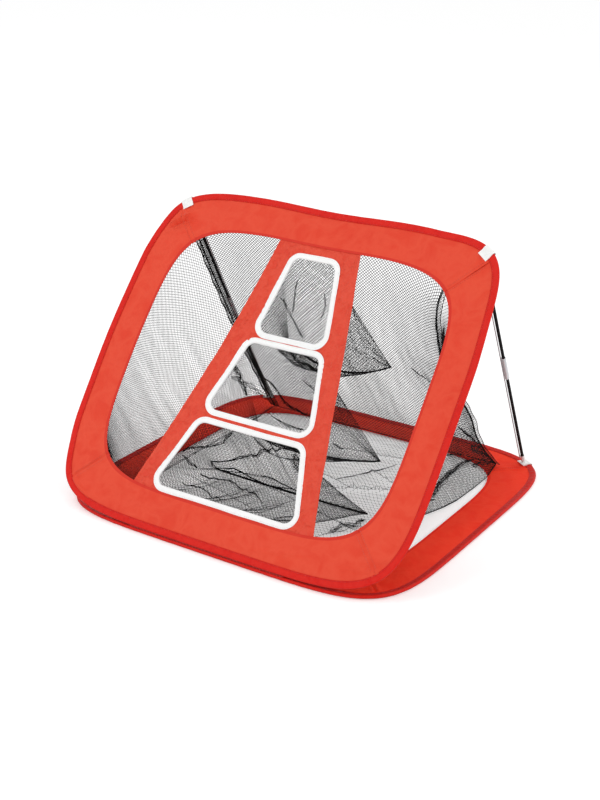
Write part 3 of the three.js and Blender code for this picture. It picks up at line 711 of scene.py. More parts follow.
def hoopSurface(s, t):
    turn, _ = turnsAlong(panelEdge, t)
    x, y, nx, ny = outlineAt(panelEdge, turn)
    out, up = (hoopWire["radius"] * side(2 * np.pi * s) for side in (np.cos, np.sin))
    return toPanel(x + nx * out, y + ny * out, hoopLevel + up)


makeSleeve("base", baseEdge, toBase, 11)
wireSize = (hoopWire["girth"], makeSleeve("panel", panelEdge, toPanel, 21))
panelHoop = gridPiece(
    "panel_hoop_wire", hoopWire["sides"], hoopWire["steps"], hoopSurface, wireSize, closed=True)
smoothShade(panelHoop, 60)
dress(panelHoop, "hoopSteel", "panel", ["panel_hoop"])
print("edge sleeves made")

# Border cloths, between the sleeve and the window.
border = {
    "tuck": 0.0072,  # where the cloth ends inside the sleeve's lip
    "thickness": 0.0008,
    "hem": 0.0055,
    "hemExtra": 0.0005,
    "step": 0.0028,
    "rows": 26,
    "width": 0.068,
    "sleevePucker": 0.00022,
    "sleeveReach": 0.012,  # how far the puckers run into the cloth
    "hemPucker": 0.00014,
    "hemReach": 0.009,
    "billow": 0.0011,
    "crinkle": 0.00022,
    "flap": 0.003,  # of the side cloths, under the top and bottom ones at the mitres
    "flapDepth": 0.00135,
    "coverLift": 0.0003,  # of the cloths that lie over them
    "fold": 0.0011,
    "foldAt": 0.0052,  # from the mitre
    "foldWidth": 0.0024,
    "mitreWidth": 0.0024,
    "hemStitch": 0.925,  # share of the way to the window
    "mitreStitch": 0.0042,
}
sideNames = {"base": ("right", "back", "left", "front"), "panel": ("right", "top", "left", "bottom")}
# Creases that the photograph shows: ends across and up the panel, height and width.
panelCreases = [
    ((-0.330, 0.056), (-0.299, 0.045), 0.0050, 0.0026), ((-0.299, 0.045), (-0.244, 0.019), 0.0050, 0.0026),
    ((-0.322, 0.044), (-0.262, 0.020), -0.0034, 0.0026), ((-0.300, 0.026), (-0.266, 0.010), 0.0018, 0.003),
    ((-0.313, 0.519), (-0.271, 0.548), 0.0050, 0.0024), ((-0.304, 0.511), (-0.256, 0.535), 0.0046, 0.0024),
    ((-0.309, 0.515), (-0.264, 0.542), -0.0044, 0.0020), ((-0.322, 0.500), (-0.258, 0.520), 0.0022, 0.003),
    ((-0.296, 0.536), (-0.250, 0.562), 0.0024, 0.003), ((0.298, 0.566), (0.226, 0.506), 0.0014, 0.0024),
    ((0.060, 0.020), (0.190, 0.042), 0.0014, 0.0035), ((0.239, 0.038), (0.319, 0.054), 0.0024, 0.003),
    ((0.252, 0.021), (0.300, 0.030), 0.0022, 0.003), ((0.262, 0.048), (0.318, 0.070), -0.0022, 0.003),
]


def segmentDistance(x, y, start, end):
    start, end = np.array(start), np.array(end)
    step = end - start
    share = np.clip(((x - start[0]) * step[0] + (y - start[1]) * step[1]) / (step @ step), 0, 1)
    return np.hypot(x - start[0] - share * step[0], y - start[1] - share * step[1]), share


def creaseHeight(x, y, creases):
    total = np.zeros_like(x)
    for start, end, height, width in creases:
        distance, share = segmentDistance(x, y, start, end)
        along = np.sin(np.pi * np.clip(share, 0.02, 0.98)) ** 0.5
        total += height * np.exp(-((distance / width) ** 2)) * along
    return total


borderSurfaces = {}


def makeBorder(body, side, edge, inner, place, seed):
    name = f"{body}_border_{sideNames[body][side]}"
    _, length = turnsAlong(edge, [0], side, 1)
    billow = waveField(seed, 0.07, 0.24)
    crinkle = waveField(seed + 1, 0.012, 0.05, 20)
    puckers = waveField(seed + 2, 0.008, 0.02, 16, 0.5)
    hemPuckers = waveField(seed + 3, 0.009, 0.024, 16, 0.5)

    def surface(s, t):
        turn, _ = turnsAlong(edge, s, side, 1)
        x, y, nx, ny = outlineAt(edge, turn)
        ax, ay = x - nx * border["tuck"], y - ny * border["tuck"]
        bx, by, _, _ = outlineAt(inner, turn)
        width = np.hypot(bx - ax, by - ay)
        px, py = ax + (bx - ax) * t, ay + (by - ay) * t
        along = s * length
        fromSleeve, fromHem = t * width, (1 - t) * width
        lift = border["sleevePucker"] * puckers(along, 0 * s) * np.exp(-fromSleeve / border["sleeveReach"])
        lift += border["hemPucker"] * hemPuckers(along, 0 * s) * np.exp(-fromHem / border["hemReach"])
        lift += border["billow"] * billow(along, fromSleeve) * np.sin(np.pi * np.clip(t, 0, 1)) ** 0.7
        lift += border["crinkle"] * creaseLines(crinkle(along, fromSleeve), 0.22) * np.sin(np.pi * t)
        toMitre = np.minimum(s, 1 - s) * length
        seam = np.exp(-((toMitre / border["mitreWidth"]) ** 2))
        under = side in (0, 2)
        lift += (-border["flapDepth"] if under else border["coverLift"]) * seam
        ridge = np.exp(-(((toMitre - border["foldAt"]) / border["foldWidth"]) ** 2))
        lift += (1.3 if under else 1) * border["fold"] * ridge
        if under:
            end = np.where(s < 1e-6, -1.0, np.where(s > 1 - 1e-6, 1.0, 0.0)) * border["flap"]
            px, py = px - ny * end, py + nx * end
        if body == "panel":
            lift += creaseHeight(px, py, panelCreases)
        lift *= smoothStep(fromSleeve, 0.0002, 0.004)
        return place(px, py, hoopLevel + lift)

    borderSurfaces[body, side] = (surface, length)
    columns, rows = int(length / border["step"]), border["rows"]
    piece = gridPiece(name + "_cloth", columns, rows, surface, (length, 0.1))
    group = piece.vertex_groups.new(name="hem")
    doubled = border["thickness"] + border["hemExtra"]
    for row in range(rows + 1):
        inHem = (1 - row / rows) * border["width"] < border["hem"]
        knots = list(range(row * (columns + 1), (row + 1) * (columns + 1)))
        group.add(knots, 1.0 if inHem else border["thickness"] / doubled, "REPLACE")
    finishWith(piece, "SOLIDIFY", thickness=doubled, offset=0, vertex_group="hem")
    smoothShade(piece, 50)
    dress(piece, "redBasePaintedLight" if body == "base" else "redNylon", body, [name])


for side in range(4):
    makeBorder("base", side, baseEdge, opening, toBase, 100 + 10 * side)
    makeBorder("panel", side, panelEdge, window, toPanel, 200 + 10 * side)
print("border cloths made")

# Target strip with its three holes, each bound with a tape.
strip = {
    "footHalf": 0.178, "headHalf": 0.077, "waist": 0.0035,  # how far the free sides curve in
    "overlap": 0.007, "thickness": 0.0009, "behind": 0.0013, "sideSag": 0.0065, "middleSag": 0.0145,
    "crinkle": 0.0006, "billow": 0.0009, "sideHem": 0.006, "length": 0.479, "columns": 150, "rows": 200,
    "patternWidth": 0.27, "puckers": 0.0005, "puckerReach": 0.008, "hemDent": 0.0003, "hemDentWidth": 0.0012,
    "cut": 0.0018,  # from a hole's outline to the cloth's edge, under the binding
    "stitchShares": (0.985, 0.015),
}
holes = {
    "low": {"foot": 0.0765, "head": 0.199, "footHalf": 0.1385, "headHalf": 0.099},
    "middle": {"foot": 0.222, "head": 0.351, "footHalf": 0.101, "headHalf": 0.0685},
    "top": {"foot": 0.3695, "head": 0.508, "footHalf": 0.0655, "headHalf": 0.0405},
}
holeCorner = 0.016
trim = {
    "outer": 0.0088, "inner": 0.0012, "half": 0.0021, "thickness": 0.0006, "puckers": 0.0002, "step": 0.0016,
    "sectionSteps": 22, "girth": 0.023, "waver": 0.00035, "stitchInset": 0.0019, "stitchLevel": 0.0017,
}


def holeContour(hole, count):  # evenly spaced points round a hole, with outward normals
    corners = np.array([
        (hole["footHalf"], hole["foot"]), (hole["headHalf"], hole["head"]),
        (-hole["headHalf"], hole["head"]), (-hole["footHalf"], hole["foot"]),
    ])
    points = []
    for k in range(4):
        here = corners[k]
        before = corners[k - 1] - here
        after = corners[(k + 1) % 4] - here
        before, after = before / np.linalg.norm(before), after / np.linalg.norm(after)
        half = math.acos(float(before @ after)) / 2
        middle = before + after
        middle = here + middle / np.linalg.norm(middle) * holeCorner / math.sin(half)
        start = math.atan2(-before[0], before[1]) + math.pi
        for share in np.linspace(0, 1, 13):
            turn = start + (math.pi - 2 * half) * share
            direction = np.array([math.cos(turn), math.sin(turn)])
            points.append([*(middle + holeCorner * direction), *direction])
    points = np.array(points + [points[0]])
    run = runAlong(points)
    at = np.linspace(0, run[-1], count + 1)
    loop = np.stack([np.interp(at, run, points[:, k]) for k in range(4)], 1)
    loop[:, 2:] /= np.linalg.norm(loop[:, 2:], axis=1, keepdims=True)
    return loop, run[-1]


def insideDistance(x, y, hole):  # negative inside the hole's outline
    slope = (hole["footHalf"] - hole["headHalf"]) / (hole["head"] - hole["foot"])
    scale = 1 / math.hypot(1, slope)
    halfAt = hole["footHalf"] - slope * (y - hole["foot"])
    a = (np.abs(x) - halfAt) * scale + holeCorner
    b = np.maximum(hole["foot"] - y, y - hole["head"]) + holeCorner
    return np.hypot(np.maximum(a, 0), np.maximum(b, 0)) + np.minimum(np.maximum(a, b), 0) - holeCorner


def windowRise(x):  # window's upper edge over its middle, at x
    beside = np.minimum(1, np.abs(x) / window["halfX"]) ** window["corner"]
    return window["halfY"] * (1 - beside) ** (1 / window["corner"])


def stripPoint(s, t):
    middle = window["middle"]
    foot = middle - window["halfY"] - strip["overlap"]
    head = middle + window["halfY"] + strip["overlap"]
    up = foot + (head - foot) * t
    half = strip["footHalf"] + (strip["headHalf"] - strip["footHalf"]) * t - strip["waist"] * 4 * t * (1 - t)
    x = (2 * s - 1) * half
    edge = windowRise(x) - window["halfY"]
    return x, up + edge * (2 * t - 1), half


def stripLevel(x, up):  # the slack strip lies behind the borders' hems and sags between them
    t = np.clip((up - window["middle"] + window["halfY"]) / (2 * window["halfY"]), 0, 1)
    half = strip["footHalf"] + (strip["headHalf"] - strip["footHalf"]) * t
    belly = np.sin(np.pi * t**1.35)
    middle = np.clip(1 - (x / half) ** 2, 0, 1)
    sag = belly * (strip["sideSag"] + (strip["middleSag"] - strip["sideSag"]) * middle)
    return hoopLevel - strip["behind"] - sag


stripBillow = waveField(301, 0.05, 0.16)
stripCrinkle = waveField(302, 0.012, 0.05, 24)
stripCrinkleTwo = waveField(303, 0.010, 0.036, 24)
stripPuckers = waveField(304, 0.008, 0.018, 18)


def stripSurface(s, t):
    x, up, half = stripPoint(s, t)
    nearest = np.min([insideDistance(x, up, hole) for hole in holes.values()], axis=0)
    toSide = half - np.abs(x)
    lift = strip["billow"] * stripBillow(x, up) * np.sin(np.pi * t) ** 0.5
    creases = creaseLines(stripCrinkle(x, up), 0.16) + 0.7 * creaseLines(stripCrinkleTwo(x, up), 0.2)
    lift += strip["crinkle"] * creases
    fade = np.exp(-np.maximum(nearest - strip["puckerReach"], 0) / strip["puckerReach"])
    lift += strip["puckers"] * stripPuckers(x, up) * fade
    lift -= strip["hemDent"] * np.exp(-(((toSide - strip["sideHem"]) / strip["hemDentWidth"]) ** 2))
    lift *= smoothStep(np.minimum(t, 1 - t) * 0.48, 0.002, 0.016)
    lift *= smoothStep(nearest, 0.004, 0.011)
    return toPanel(x, up, stripLevel(x, up) + lift)


def makeStrip():
    pattern = (strip["patternWidth"], strip["length"])
    piece = gridPiece("target_strip_cloth", strip["columns"], strip["rows"], stripSurface, pattern)
    centres = np.array([face.center for face in piece.data.polygons])
    x = centres[:, 0]
    up = (centres[:, 1] - hinge.y) * math.cos(lean) + (centres[:, 2] - hinge.z) * math.sin(lean)
    nearest = np.min([insideDistance(x, up, hole) for hole in holes.values()], axis=0)
    activate(piece)
    bpy.ops.object.mode_set(mode="EDIT")
    bpy.ops.mesh.select_mode(type="FACE")
    bpy.ops.mesh.select_all(action="DESELECT")
    bpy.ops.object.mode_set(mode="OBJECT")
    piece.data.polygons.foreach_set("select", nearest < strip["cut"])
    bpy.ops.object.mode_set(mode="EDIT")
    bpy.ops.mesh.delete(type="FACE")
    bpy.ops.mesh.select_mode(type="VERT")
    bpy.ops.object.mode_set(mode="OBJECT")
    finishWith(piece, "SOLIDIFY", thickness=strip["thickness"], offset=0)
    smoothShade(piece, 50)
    dress(piece, "redStrip", "panel", ["target_strip"])


makeStrip()


def trimSection():  # a tape folded over the hole's edge, open towards the cloth
    nose = np.radians(np.linspace(90, -90, 11))
    upper = [(trim["outer"], 0.0012), (trim["outer"] - 0.0007, 0.0015), (trim["outer"] - 0.0026, 0.00165)]
    upper += [(0.0030, trim["half"])]
    fold = [(0.0009 - (trim["inner"] + 0.0009) * math.cos(a), trim["half"] * math.sin(a)) for a in nose]
    points = np.array(upper + fold + [(out, -up) for out, up in reversed(upper)])
    return evenPoints(points, trim["sectionSteps"])


def makeTrim(name, hole, seed):
    _, length = holeContour(hole, 8)
    rows = int(length / trim["step"])
    loop, _ = holeContour(hole, rows)
    out, up = trimSection()
    middle = (trim["outer"] - trim["inner"]) / 2
    ripple = ringWaves(seed, length, 0.005, 0.014)
    bend = ringWaves(seed + 1, length, 0.05, 0.2)

    def surface(s, t):
        index = np.round(t * rows).astype(int) % rows
        ring = np.round(s * trim["sectionSteps"]).astype(int)
        o, u = out[ring], up[ring]
        o = o + trim["waver"] * bend(t) * (o > middle)
        u = u + np.sign(u) * trim["puckers"] * ripple(t) * smoothStep(o, 0.001, 0.007)
        point = loop[index]
        px, py = point[:, 0] + point[:, 2] * o, point[:, 1] + point[:, 3] * o
        return toPanel(px, py, stripLevel(px, py) + u)

    size = (trim["girth"], length)
    piece = gridPiece(f"hole_trim_{name}_binding", trim["sectionSteps"], rows, surface, size, closed=True)
    finishWith(piece, "SOLIDIFY", thickness=trim["thickness"], offset=-1)
    smoothShade(piece, 60)
    dress(piece, "whiteBinding", "panel", [f"hole_trim_{name}"])


for number, (name, hole) in enumerate(holes.items()):
    makeTrim(name, hole, 320 + 10 * number)
print("target strip and bindings made")

# Nets: real threads on a diamond mesh.
net = {
    "thread": 0.00032,
    "cell": 0.0030,  # half a diamond, so that threads lie 4.2 mm apart
    "pocketCell": 0.0037,
    "selvedge": 0.00065,
    "foldThread": 0.0004,
    "foldLift": 0.0008,
}
# Folds of the slack nets, read off the photograph: corners in its pixels, width in metres, threads,
# and the pocket's layer. Folds that it doesn't show are given as shares of the net's two directions.
netFolds = {
    "back": [([(411, 368), (420, 375), (430, 383)], 0.0006, 3, None)],
    "floor": [
        ([(335, 480), (347, 477), (361, 473), (380, 469), (397, 464)], 0.0016, 4, None),
        ([(332, 443), (337, 445), (343, 448)], 0.003, 5, None),
        ([(423, 505), (432, 490), (443, 478), (454, 469), (463, 463), (473, 459)], 0.006, 11, None),
        ([(430, 497), (444, 478), (452, 470), (459, 464), (468, 460)], 0.010, 7, None),
        ([(444, 455), (453, 454), (463, 454)], 0.002, 5, None),
        ([(330, 531), (344, 525), (356, 523), (364, 519)], 0.012, 9, None),
        ([(420, 505), (424, 502), (434, 499)], 0.004, 5, None),
        ([(0.15, 0.62), (0.34, 0.56), (0.52, 0.60)], 0.003, 4, None),
        ([(0.10, 0.30), (0.25, 0.40), (0.45, 0.36)], 0.003, 4, None),
    ],
    "right": [
        ([(458, 427), (465, 433), (472, 438), (478, 443)], 0.004, 9, None),
        ([(0.90, 0.78), (0.95, 0.85), (0.99, 0.93)], 0.012, 12, None),
        ([(0.86, 0.88), (0.93, 0.92), (0.99, 0.98)], 0.010, 10, None),
        ([(0.00, 0.01), (0.16, 0.02), (0.35, 0.02)], 0.004, 6, None),
    ],
    "left": [([(0.86, 0.70), (0.93, 0.82), (0.98, 0.95)], 0.008, 7, None)],
    "low": [
        ([(182, 455), (187, 460), (197, 467)], 0.004, 8, "lower"),
        ([(212, 465), (232, 460), (256, 456), (287, 448)], 0.005, 9, "upper"),
        ([(216, 467), (234, 468), (249, 476), (267, 486), (292, 489)], 0.003, 6, "upper"),
        ([(182, 482), (195, 487), (207, 493), (223, 499)], 0.003, 5, "lower"),
        ([(293, 455), (296, 464), (299, 473)], 0.010, 12, "upper"),
        ([(182, 455), (187, 449), (197, 448), (207, 447), (223, 443), (232, 433)], 0.005, 7, "upper"),
        ([(270, 442), (285, 447), (300, 452)], 0.003, 5, "upper"),
        ([(200, 474), (222, 479), (246, 489), (262, 503)], 0.004, 6, "lower"),
    ],
    "middle": [
        ([(233, 364), (235, 369), (241, 379), (247, 395)], 0.008, 12, "upper"),
        ([(262, 377), (274, 385), (284, 402), (298, 410), (313, 415)], 0.004, 7, "upper"),
        ([(289, 351), (297, 359), (305, 365), (320, 370)], 0.008, 10, "upper"),
        ([(302, 379), (309, 386), (316, 393)], 0.002, 4, "upper"),
        ([(271, 416), (281, 421), (292, 426), (304, 429)], 0.004, 6, "upper"),
    ],
    "top": [
        ([(281, 297), (290, 315), (303, 338)], 0.003, 4, "upper"),
        ([(324, 293), (327, 305), (322, 318)], 0.002, 4, "upper"),
        ([(298, 280), (294, 300), (293, 312)], 0.002, 4, "upper"),
    ],
}


def surfaceNormals(points):
    down = np.gradient(points, axis=0)
    across = np.gradient(points, axis=1)
    normal = np.cross(across, down)
    return normal / (np.linalg.norm(normal, axis=2, keepdims=True) + 1e-12)


def netLines(points, wrap=False, thread=net["thread"], lift=0.00007):
    rows, columns = points.shape[0] - 1, points.shape[1] - 1
    if wrap:
        padded = np.concatenate([points[:, -3:-1], points, points[:, 1:3]], axis=1)
        normals = surfaceNormals(padded)[:, 2:-2]
    else:
        normals = surfaceNormals(points)
    lines = []

    def addThread(i, j, sign):
        lines.append((points[j, i] + sign * lift * normals[j, i], normals[j, i], thread))

    if wrap:
        for start in range(0, columns, 2):
            j = np.arange(rows + 1)
            addThread((start + j) % columns, j, 1)
            addThread((start - j) % columns, j, -1)
    else:
        for start in range(-(rows // 2) * 2, columns, 2):
            j = np.arange(max(0, -start), min(rows, columns - start) + 1)
            if len(j) > 1:
                addThread(start + j, j, 1)
                addThread(columns - start - j, j, -1)
    return lines, normals


def flattenWithFold(piece):  # gives the piece its own copy of its mesh data
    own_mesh(piece)


def seenAt(points):  # where the camera sees each point, in the photograph's pixels
    across, up, depth = ((points.reshape(-1, 3) - camera["place"]) @ np.array(turned)[:3, :3]).T
    wide, high = camera["picture"]
    scale = camera["lens"] / camera["sensor"] * wide
    return wide / 2 - scale * across / depth, high / 2 + scale * up / depth


def foldCorners(points, corners, layer):  # in steps of the net's grid; seen corners go to the nearest knot
    rows, columns = points.shape[0] - 1, points.shape[1] - 1
    if np.max(corners) <= 1:
        return np.array(corners) * [columns, rows]
    seenX, seenY = seenAt(points)
    mouth = points[0, :, 2]
    upper = mouth >= (mouth.min() + mouth.max()) / 2
    allowed = np.tile({"upper": upper, "lower": ~upper, None: upper | True}[layer], rows + 1)
    found = []
    for x, y in corners:
        gap = np.hypot(seenX - x, seenY - y) + 1000.0 * ~allowed
        knot = int(np.argmin(gap))
        if gap[knot] < 4:
            found.append((knot % (columns + 1), knot // (columns + 1)))
    return np.array(found, float)


def foldThreads(points, folds, seed):  # where slack net is bunched into a fold, its threads lie in a rope
    rows, columns = points.shape[0] - 1, points.shape[1] - 1
    surface = np.concatenate([points, surfaceNormals(points)], 2)
    chance = np.random.default_rng(seed)
    lines = []
    for seen, width, strands, layer in folds:
        corners = foldCorners(points, seen, layer)
        run = runAlong(corners)
        count = int(run[-1] * 1.6) + 6
        share = np.linspace(0, 1, count)
        i, j = (np.interp(share * run[-1], run, corners[:, k]) for k in (0, 1))
        for _ in range(4):
            i[1:-1], j[1:-1] = (i[:-2] + 2 * i[1:-1] + i[2:]) / 4, (j[:-2] + 2 * j[1:-1] + j[2:]) / 4
        i, j = np.clip(i, 0, columns - 1e-6), np.clip(j, 0, rows - 1e-6)
        i0, j0 = i.astype(int), j.astype(int)
        a, b = (i - i0)[:, None], (j - j0)[:, None]
        above = (1 - a) * surface[j0, i0] + a * surface[j0, i0 + 1]
        below = (1 - a) * surface[j0 + 1, i0] + a * surface[j0 + 1, i0 + 1]
        at = (1 - b) * above + b * below
        middle, normal = at[:, :3], at[:, 3:]
        side = np.cross(np.gradient(middle, axis=0), normal)
        side /= np.linalg.norm(side, axis=1, keepdims=True) + 1e-12
        taper = np.sin(np.pi * (0.06 + 0.88 * share)) ** 0.6
        for strand in range(strands):
            beats, starts = chance.uniform(1.5, 7, 3), chance.uniform(0, 6.28, 3)
            wave = np.sin(beats[:, None] * share * 3.14 + starts[:, None])
            across = width * taper * (strand / max(1, strands - 1) - 0.5 + 0.28 * wave[0] + 0.12 * wave[1])
            lift = net["foldLift"] * taper * (1 + wave[2])
            path = middle + side * across[:, None] + normal * lift[:, None]
            path[:, 2] = np.maximum(path[:, 2], 0.001)
            lines.append((path, normal, net["foldThread"]))
    return lines


def makeNet(name, surface, size, body, node, thread=net["thread"], cell=net["cell"], folds=()):
    width, height = size
    columns = max(2, int(round(width / cell / 2)) * 2)
    rows = max(2, int(round(height / cell / 2)) * 2)
    s, t = np.meshgrid(np.linspace(0, 1, columns + 1), np.linspace(0, 1, rows + 1))
    points = surface(s.ravel(), t.ravel()).reshape(rows + 1, columns + 1, 3)
    lines, normals = netLines(points, thread=thread)
    for edge in (np.s_[0], np.s_[-1], np.s_[:, 0], np.s_[:, -1]):
        lines.append((points[edge], normals[edge], net["selvedge"]))
    lines += foldThreads(points, folds, len(name))
    piece = dress(tubes(name, lines), "netThread", body, [node])
    return piece


catchNet = {
    "half": 0.239, "height": 0.475, "thread": 0.0005, "headOverlap": 0.006, "level": 0.0002,
    "footY": 0.2415, "footZ": 0.0068,
    "leftSag": 0.008, "middleSag": 0.034, "rightSag": 0.050, "rightInward": 0.016,
    "folds": 0.0045, "ripples": 0.0012,
}


def windowTopAt(x):
    return window["middle"] + windowRise(x) + catchNet["headOverlap"]


# How far the right seam hangs from a straight line, along it.
hangPlaces = [0, 0.07, 0.15, 0.27, 0.40, 0.50, 0.60, 0.70, 0.80, 0.90, 1]
hangShares = [0, 0.46, 0.72, 0.90, 1.03, 0.88, 0.60, 0.45, 0.50, 0.33, 0]
seamSteps = np.linspace(0, 1, 121)
seamHang = np.interp(seamSteps, hangPlaces, hangShares)
for _ in range(12):
    seamHang[1:-1] = (seamHang[:-2] + 2 * seamHang[1:-1] + seamHang[2:]) / 4
backFolds = waveField(401, 0.05, 0.16, 12, 0.9)
backRipples = waveField(402, 0.018, 0.05, 14, 1.2)


def backSurface(s, t):
    x = (2 * s - 1) * catchNet["half"]
    head = toPanel(x, windowTopAt(x), catchNet["level"])
    foot = np.stack([x, np.full_like(x, catchNet["footY"]), np.full_like(x, catchNet["footZ"])], -1)
    point = head + (foot - head) * t[:, None]
    belly = 4 * t * (1 - t)
    early = np.interp(t, seamSteps, seamHang)
    sag = catchNet["leftSag"] * belly * (1 - s) ** 2 + catchNet["middleSag"] * belly * 4 * s * (1 - s)
    sag += catchNet["rightSag"] * early * s**2.5
    point[:, 1] -= sag
    point[:, 0] -= catchNet["rightInward"] * early * s**3
    fade = np.sin(np.pi * np.clip(t, 0, 1)) * np.sin(np.pi * np.clip(s, 0.0, 1)) ** 0.5
    waves = catchNet["folds"] * backFolds(x, 0.25 * t) + catchNet["ripples"] * backRipples(x, 0.3 * t)
    point[:, 1] += waves * fade
    return point


def seamLine(side, t):  # where the back sheet ends at one side
    return backSurface(np.full_like(t, 1.0 if side > 0 else 0.0), t)


backNet = makeNet(
    "catch_net_back", backSurface, (2 * catchNet["half"], catchNet["height"]), None, "net_back",
    thread=catchNet["thread"], folds=netFolds["back"])

floorNet = {
    "half": 0.2405, "front": -0.236, "back": 0.245, "high": 0.0044, "low": 0.0012,
    "frontDrop": -0.1945, "backDrop": 0.194, "ramp": 0.009, "length": 0.481, "thread": 0.00025,
    "cell": 0.0042, "bumps": 0.0016,
}
# Folds of the slack net on the floor: ends in plan, height and width.
floorCreases = [
    ((-0.21, -0.10), (0.02, -0.16), 0.010, 0.0035), ((-0.12, -0.05), (0.20, -0.13), 0.011, 0.0035),
    ((-0.16, 0.06), (0.10, 0.01), 0.009, 0.003), ((0.02, -0.02), (0.19, 0.07), 0.011, 0.0035),
    ((0.06, 0.10), (0.21, 0.02), 0.009, 0.003), ((-0.05, 0.14), (0.12, 0.17), 0.008, 0.003),
    ((-0.19, 0.15), (-0.04, 0.10), 0.008, 0.003), ((0.12, -0.17), (0.21, -0.06), 0.010, 0.0035),
]
floorBumps = waveField(411, 0.03, 0.11, 14, 2 * math.pi)
# The slack floor sheet's right edge, along it and from the middle.
floorEdgeY = [-0.236, 0.000, 0.015, 0.045, 0.080, 0.140, 0.195, 0.245]
floorEdgeX = [0.2220, 0.2235, 0.2290, 0.2385, 0.2450, 0.2475, 0.2470, 0.2380]


def floorSurface(s, t):
    y = floorNet["back"] + (floorNet["front"] - floorNet["back"]) * t
    x = (2 * s - 1) * np.where(s > 0.5, np.interp(y, floorEdgeY, floorEdgeX), floorNet["half"])
    ramp = floorNet["ramp"]
    onBorder = smoothStep(-y, -floorNet["frontDrop"] - ramp, -floorNet["frontDrop"] + ramp)
    onBorder = onBorder + smoothStep(y, floorNet["backDrop"] - ramp, floorNet["backDrop"] + ramp)
    z = floorNet["low"] + (floorNet["high"] - floorNet["low"]) * onBorder
    inner = np.minimum(np.minimum(s, 1 - s) * 2 * floorNet["half"], np.minimum(t, 1 - t) * 0.48)
    loose = smoothStep(inner, 0.004, 0.05)
    z = z + (floorNet["bumps"] * (1 + floorBumps(x, y)) + creaseHeight(x, y, floorCreases)) * loose
    return np.stack([x, y, z + net["thread"]], -1)


makeNet(
    "catch_net_floor", floorSurface, (2 * floorNet["half"], floorNet["length"]), "base", "net_floor",
    floorNet["thread"], floorNet["cell"], netFolds["floor"])
frontNet = {
    "height": 0.058, "overlap": 0.005, "footY": -0.2345, "footZ": 0.0070, "sag": 0.006, "ripples": 0.0012,
}


def frontSurface(s, t):
    x = (2 * s - 1) * floorNet["half"]
    head = toPanel(x, window["middle"] - window["halfY"] - frontNet["overlap"], catchNet["level"])
    foot = np.stack([x, frontNet["footY"] + 0 * x, frontNet["footZ"] + 0 * x], -1)
    point = head + (foot - head) * t[:, None]
    point[:, 1] -= frontNet["sag"] * 4 * t * (1 - t)
    point[:, 1] += frontNet["ripples"] * backRipples(x, 0.05 * t) * np.sin(np.pi * t)
    return point


frontSize = (2 * floorNet["half"], frontNet["height"])
flattenWithFold(makeNet("catch_net_front", frontSurface, frontSize, "panel", "net_front"))

sideNet = {
    "first": -0.69, "x": 0.2412, "sag": 0.030, "fold": 0.0035, "size": (0.47, 0.36),
    "threads": {"left": 0.00038, "right": 0.0003}, "besideSeam": 0.0016, "tuck": 0.010,
}
# The side sheets' feet: places along the base and heights.
footStations = np.array([
    (-0.2305, 0.0088), (-0.2025, 0.0069), (-0.1825, 0.0036),
    (0.182, 0.0036), (0.202, 0.0069), (0.2335, 0.0078),
])
sideFolds = {-1: waveField(421, 0.03, 0.10, 12, 0.7), 1: waveField(422, 0.03, 0.10, 12, 0.7)}


def sideSurface(side):
    turns = np.linspace(sideNet["first"], math.radians(86), 600)
    edgeX, edgeY, nx, ny = outlineAt(window, turns)
    keep = (ny <= 0) | (edgeX > catchNet["half"] + 0.002)
    edgeX, edgeY, nx, ny = (value[keep] for value in (edgeX, edgeY, nx, ny))
    edgeX = edgeX + nx * catchNet["headOverlap"]
    edgeY = edgeY + ny * catchNet["headOverlap"]
    run = runAlong(np.stack([edgeX, edgeY], 1))
    run /= run[-1]
    footRun = runAlong(footStations)
    footRun /= footRun[-1]

    def surface(s, t):  # s from the front to the seam, t from the window down to the floor
        start = toPanel(side * np.interp(s, run, edgeX), np.interp(s, run, edgeY), catchNet["level"])
        footY, footZ = np.interp(s, footRun, footStations[:, 0]), np.interp(s, footRun, footStations[:, 1])
        footX = 0.001 + np.interp(footY, floorEdgeY, floorEdgeX) if side > 0 else sideNet["x"]
        foot = np.stack([side * footX + 0 * s, footY, footZ], -1)
        point = start + (foot - start) * t[:, None]
        belly = 4 * t * (1 - t)
        point[:, 1] -= sideNet["sag"] * 0.6 * belly * s**2 * (1 - s) * 2.5
        # the last threads run along the seam with the back sheet
        seam = seamLine(side, t)
        seam[:, 0] += side * sideNet["besideSeam"]
        last = toPanel(side * edgeX[-1], edgeY[-1], catchNet["level"])
        lastFoot = np.array([side * sideNet["x"], footStations[-1, 0], footStations[-1, 1]])
        straight = last + (lastFoot - last) * t[:, None]
        point += (seam - straight) * (s**2.2)[:, None]
        fade = np.sin(np.pi * np.clip(t, 0, 1)) * np.sin(np.pi * np.clip(s, 0, 1))
        point[:, 0] += side * sideNet["fold"] * sideFolds[side](0.5 * s, 0.2 * t) * fade
        point[:, 0] -= side * sideNet["tuck"] * fade * smoothStep(s, 0.3, 0.9)
        return point

    return surface


for side, word in ((-1, "left"), (1, "right")):
    flattenWithFold(makeNet(
        f"catch_net_{word}", sideSurface(side), sideNet["size"], "panel", f"net_side_{word}",
        thread=sideNet["threads"][word], folds=netFolds[word]))
print("catch net made")

# Seams between the back and the sides: doubled net with an overlocked core.
seamBand = {
    "left": {"inner": -0.009, "outer": 0.008, "thread": 0.00036, "columns": 6},
    "right": {"inner": -0.001, "outer": 0.008, "thread": 0.0002, "columns": 4},
    "rows": 160, "core": 0.0011, "beads": 0.0052, "beadLift": 0.0007,
    "foot": (0, 0.2415, 0.007), "head": (0, 0.03, 0.42),  # where it follows the base, and the panel
    "outward": 0.0008, "layers": 0.0009, "flutter": 0.0012, "lowest": 0.0062,
    "coreBehind": 0.0012, "coreOutward": 0.0005, "coreLowest": 0.0078, "length": 0.48,
}


